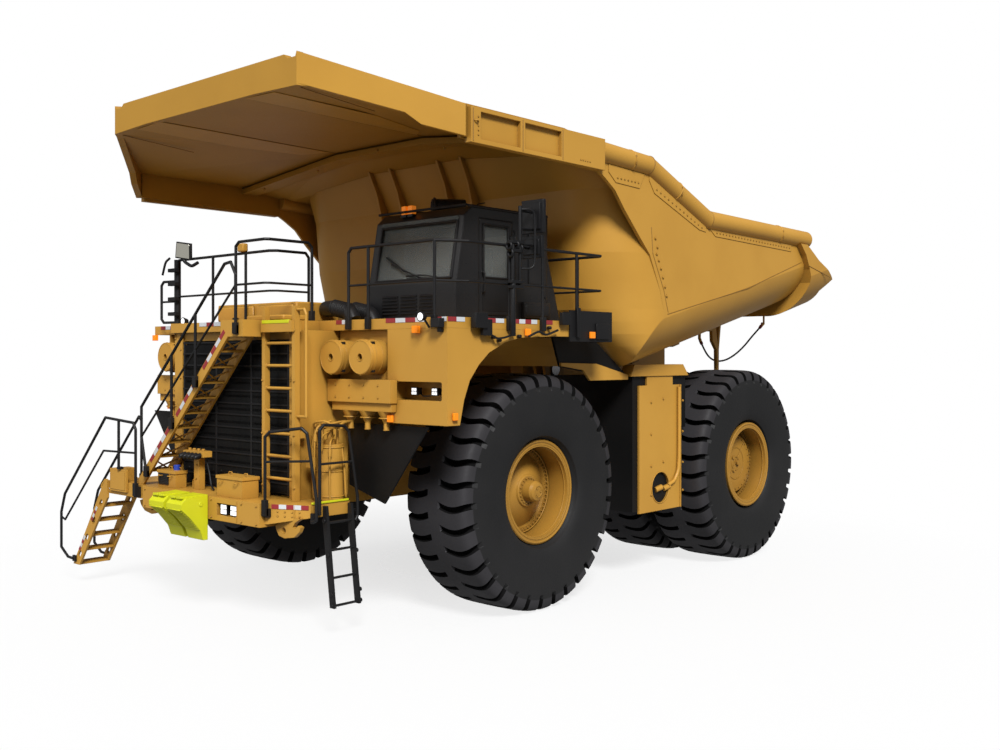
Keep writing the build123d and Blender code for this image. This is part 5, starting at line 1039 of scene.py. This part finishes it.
# ---- tank guard and hoses
guard = shape()
guard_x = 3.312               # outer face of the guard's plate
for z in (1.45, 1.95, 2.5, 3.05):
    for y in (3.02, 4.02):
        bolt(guard, (guard_x, y, z), outward, 0.016)
for z in (3.1, 2.0):
    bolt(guard, (guard_x, 3.4, z), outward, 0.016)
tube(guard, [(3.34, 3.86, 3.3), (3.34, 3.86, 1.85), (3.33, 3.72, 1.64), (3.31, 3.55, 1.58)], 0.035, 12)
hoop(guard, (guard_x, 3.31, 1.56), outward, 0.272, 0.01, 56)
for y in (3.2, 3.45):
    lean = (0.3, 1, 0.25)
    rings(guard, [((3.27, y, 1.52), lean, 0.05), ((3.3, y + 0.16, 1.56), lean, 0.05)], 16)
make("guard_details", guard, yellow)

# Hoses between the frame rails, to the front struts and to the hoists.
hoses = shape()
for x in (-0.3, -0.18, 0.18, 0.3):
    tube(hoses, [(x, 1.0, 2.05), (x, 1.6, 2.35), (x, 2.4, 2.62), (x, 4.0, 2.66), (x, 5.2, 2.6)], 0.028)
strut_hose = ((0.78, -0.3, 2.6), (1.1, -0.34, 2.5), (1.45, -0.3, 2.3), (1.62, -0.26, 2.2))
hoist_hose = ((0.78, 3.3, 2.2), (0.92, 3.4, 2.0), (0.98, 3.45, 1.8))
for hand in (1, -1):
    for line, r in ((strut_hose, 0.022), (hoist_hose, 0.028)):
        tube(hoses, [(x * hand, y, z) for x, y, z in line], r)
make("hydraulic_hoses", hoses, charcoal)

# Low hood on the middle deck with its panels, and a small box on the rail.
hood = shape()
for sides in (
    (-1.25, 0.8, -2.62, -1.8, 4.362, 4.66), (-1.2, -0.25, -2.66, -2.62, 4.4, 4.62),
    (-0.15, 0.75, -2.66, -2.62, 4.4, 4.62), (-0.52, -0.36, -2.76, -2.66, 5.47, 5.6),
    (0.3, 1.2, -3.16, -2.72, 4.361, 4.44),
):
    box(hood, *sides)
make("deck_hood", hood, yellow, bevel=0.02)
# Ribbed intake ducts beside the cab.
ducts = shape()
for y, low, high in ((-2.2, 4.37, 4.56), (-1.8, 4.35, 4.54)):
    path = [(1.6, y, low), (1.52, y, high - 0.06), (1.2, y, high), (0.86, y + 0.1, high)]
    tube(ducts, path, 0.12, 20)
    for i in range(9):
        spot = lerp(path[1], path[2], i / 8)
        hoop(ducts, spot, (1, 0, 0), 0.118, 0.012, 24, 6)
make("intake_ducts", ducts, black)

# Grease lines, valves and their bracket round the grease tank.
lines = shape()
for dx, dy, z in ((-0.16, -0.16, 2.78), (-0.05, -0.22, 2.86), (0.08, -0.22, 2.74), (0.17, -0.14, 2.66)):
    x, y = tank_x + dx, tank_y + dy
    pipe = [(x, y, 1.86), (tank_x + 1.1 * dx, y - 0.02, 2.3), (x, y, z), (tank_x + 0.3 * dx, -2.9, z + 0.08)]
    tube(lines, pipe, 0.013)
    bar(lines, (x, y, z - 0.2), (x, y, z - 0.1), 0.024, 10)
tube(lines, [(1.72, -3.05, 2.72), (1.8, -3.1, 2.92), (2.05, -3.08, 2.95), (2.2, -3.0, 2.84)], 0.016)
tube(lines, [(1.74, -3.02, 1.84), (1.72, -3.06, 2.4), (1.76, -3.02, 2.92)], 0.018)
box(lines, 1.7, 2.24, -2.98, -2.94, 2.84, 2.9)
box(lines, 1.78, 1.9, -3.22, -3.12, 2.3, 2.44)
make("grease_lines", lines, yellow)

# Bands round the front struts.
under = shape()
for hand in (1, -1):
    for z in (2.95, 3.3):
        hoop(under, (1.85 * hand, 0, z), (0, 0, 1), 0.228, 0.012, 40)
make("strut_bands", under, casting)

# ---- floor and light
floor_half, floor_z = 60.0, -0.001
floor_mesh = bpy.data.meshes.new("floor")
corners = ((-1, -1), (1, -1), (1, 1), (-1, 1))
floor_mesh.from_pydata([(x * floor_half, y * floor_half, floor_z) for x, y in corners], [], [(0, 1, 2, 3)])
floor = add_object("floor", floor_mesh)
ground = bpy.data.materials.new("floor")
ground.use_nodes = True
nodes = ground.node_tree.nodes
link = ground.node_tree.links.new
base = nodes["Principled BSDF"]
base.inputs["Base Color"].default_value = (0.9, 0.9, 0.9, 1)
base.inputs["Roughness"].default_value = 0.9
# The floor clears away from the truck, so only a faint shadow is left on white.
place = nodes.new("ShaderNodeTexCoord")
radius = nodes.new("ShaderNodeVectorMath")
radius.operation = "LENGTH"
fade = add_node(nodes, "ShaderNodeMapRange", {"From Min": 1.0, "From Max": 11.0, "To Min": 0.7})
clear = nodes.new("ShaderNodeBsdfTransparent")
mix = nodes.new("ShaderNodeMixShader")
link(place.outputs["Object"], radius.inputs[0])
link(radius.outputs["Value"], fade.inputs["Value"])
link(fade.outputs["Result"], mix.inputs[0])
link(base.outputs["BSDF"], mix.inputs[1])
link(clear.outputs["BSDF"], mix.inputs[2])
link(mix.outputs["Shader"], nodes["Material Output"].inputs["Surface"])
floor_mesh.materials.append(ground)

world = scene.world or bpy.data.worlds.new("world")
scene.world = world
world.use_nodes = True
nodes = world.node_tree.nodes
link = world.node_tree.links.new
sky = nodes["Background"]
sky.inputs["Color"].default_value = (1, 1, 1, 1)
# White to the camera, and soft for everything it lights.
ray = nodes.new("ShaderNodeLightPath")
strength = add_node(nodes, "ShaderNodeMapRange", {"To Min": 0.22, "To Max": 1.0})
link(ray.outputs["Is Camera Ray"], strength.inputs["Value"])
link(strength.outputs["Result"], sky.inputs["Strength"])
scene.view_settings.view_transform = "Standard"


def sun(name, toward, energy, spread):
    """A far light that stands toward a direction, its spread in degrees."""
    data = bpy.data.lights.new(name, "SUN")
    data.energy = energy
    data.angle = math.radians(spread)
    ob = add_object(name, data)
    ob.rotation_euler = Vector(toward).to_track_quat("Z", "Y").to_euler()


sun("key", (0.66, -0.5, 0.7), 3.75, 16)
sun("front_fill", (-0.35, -0.8, 0.35), 0.5, 50)
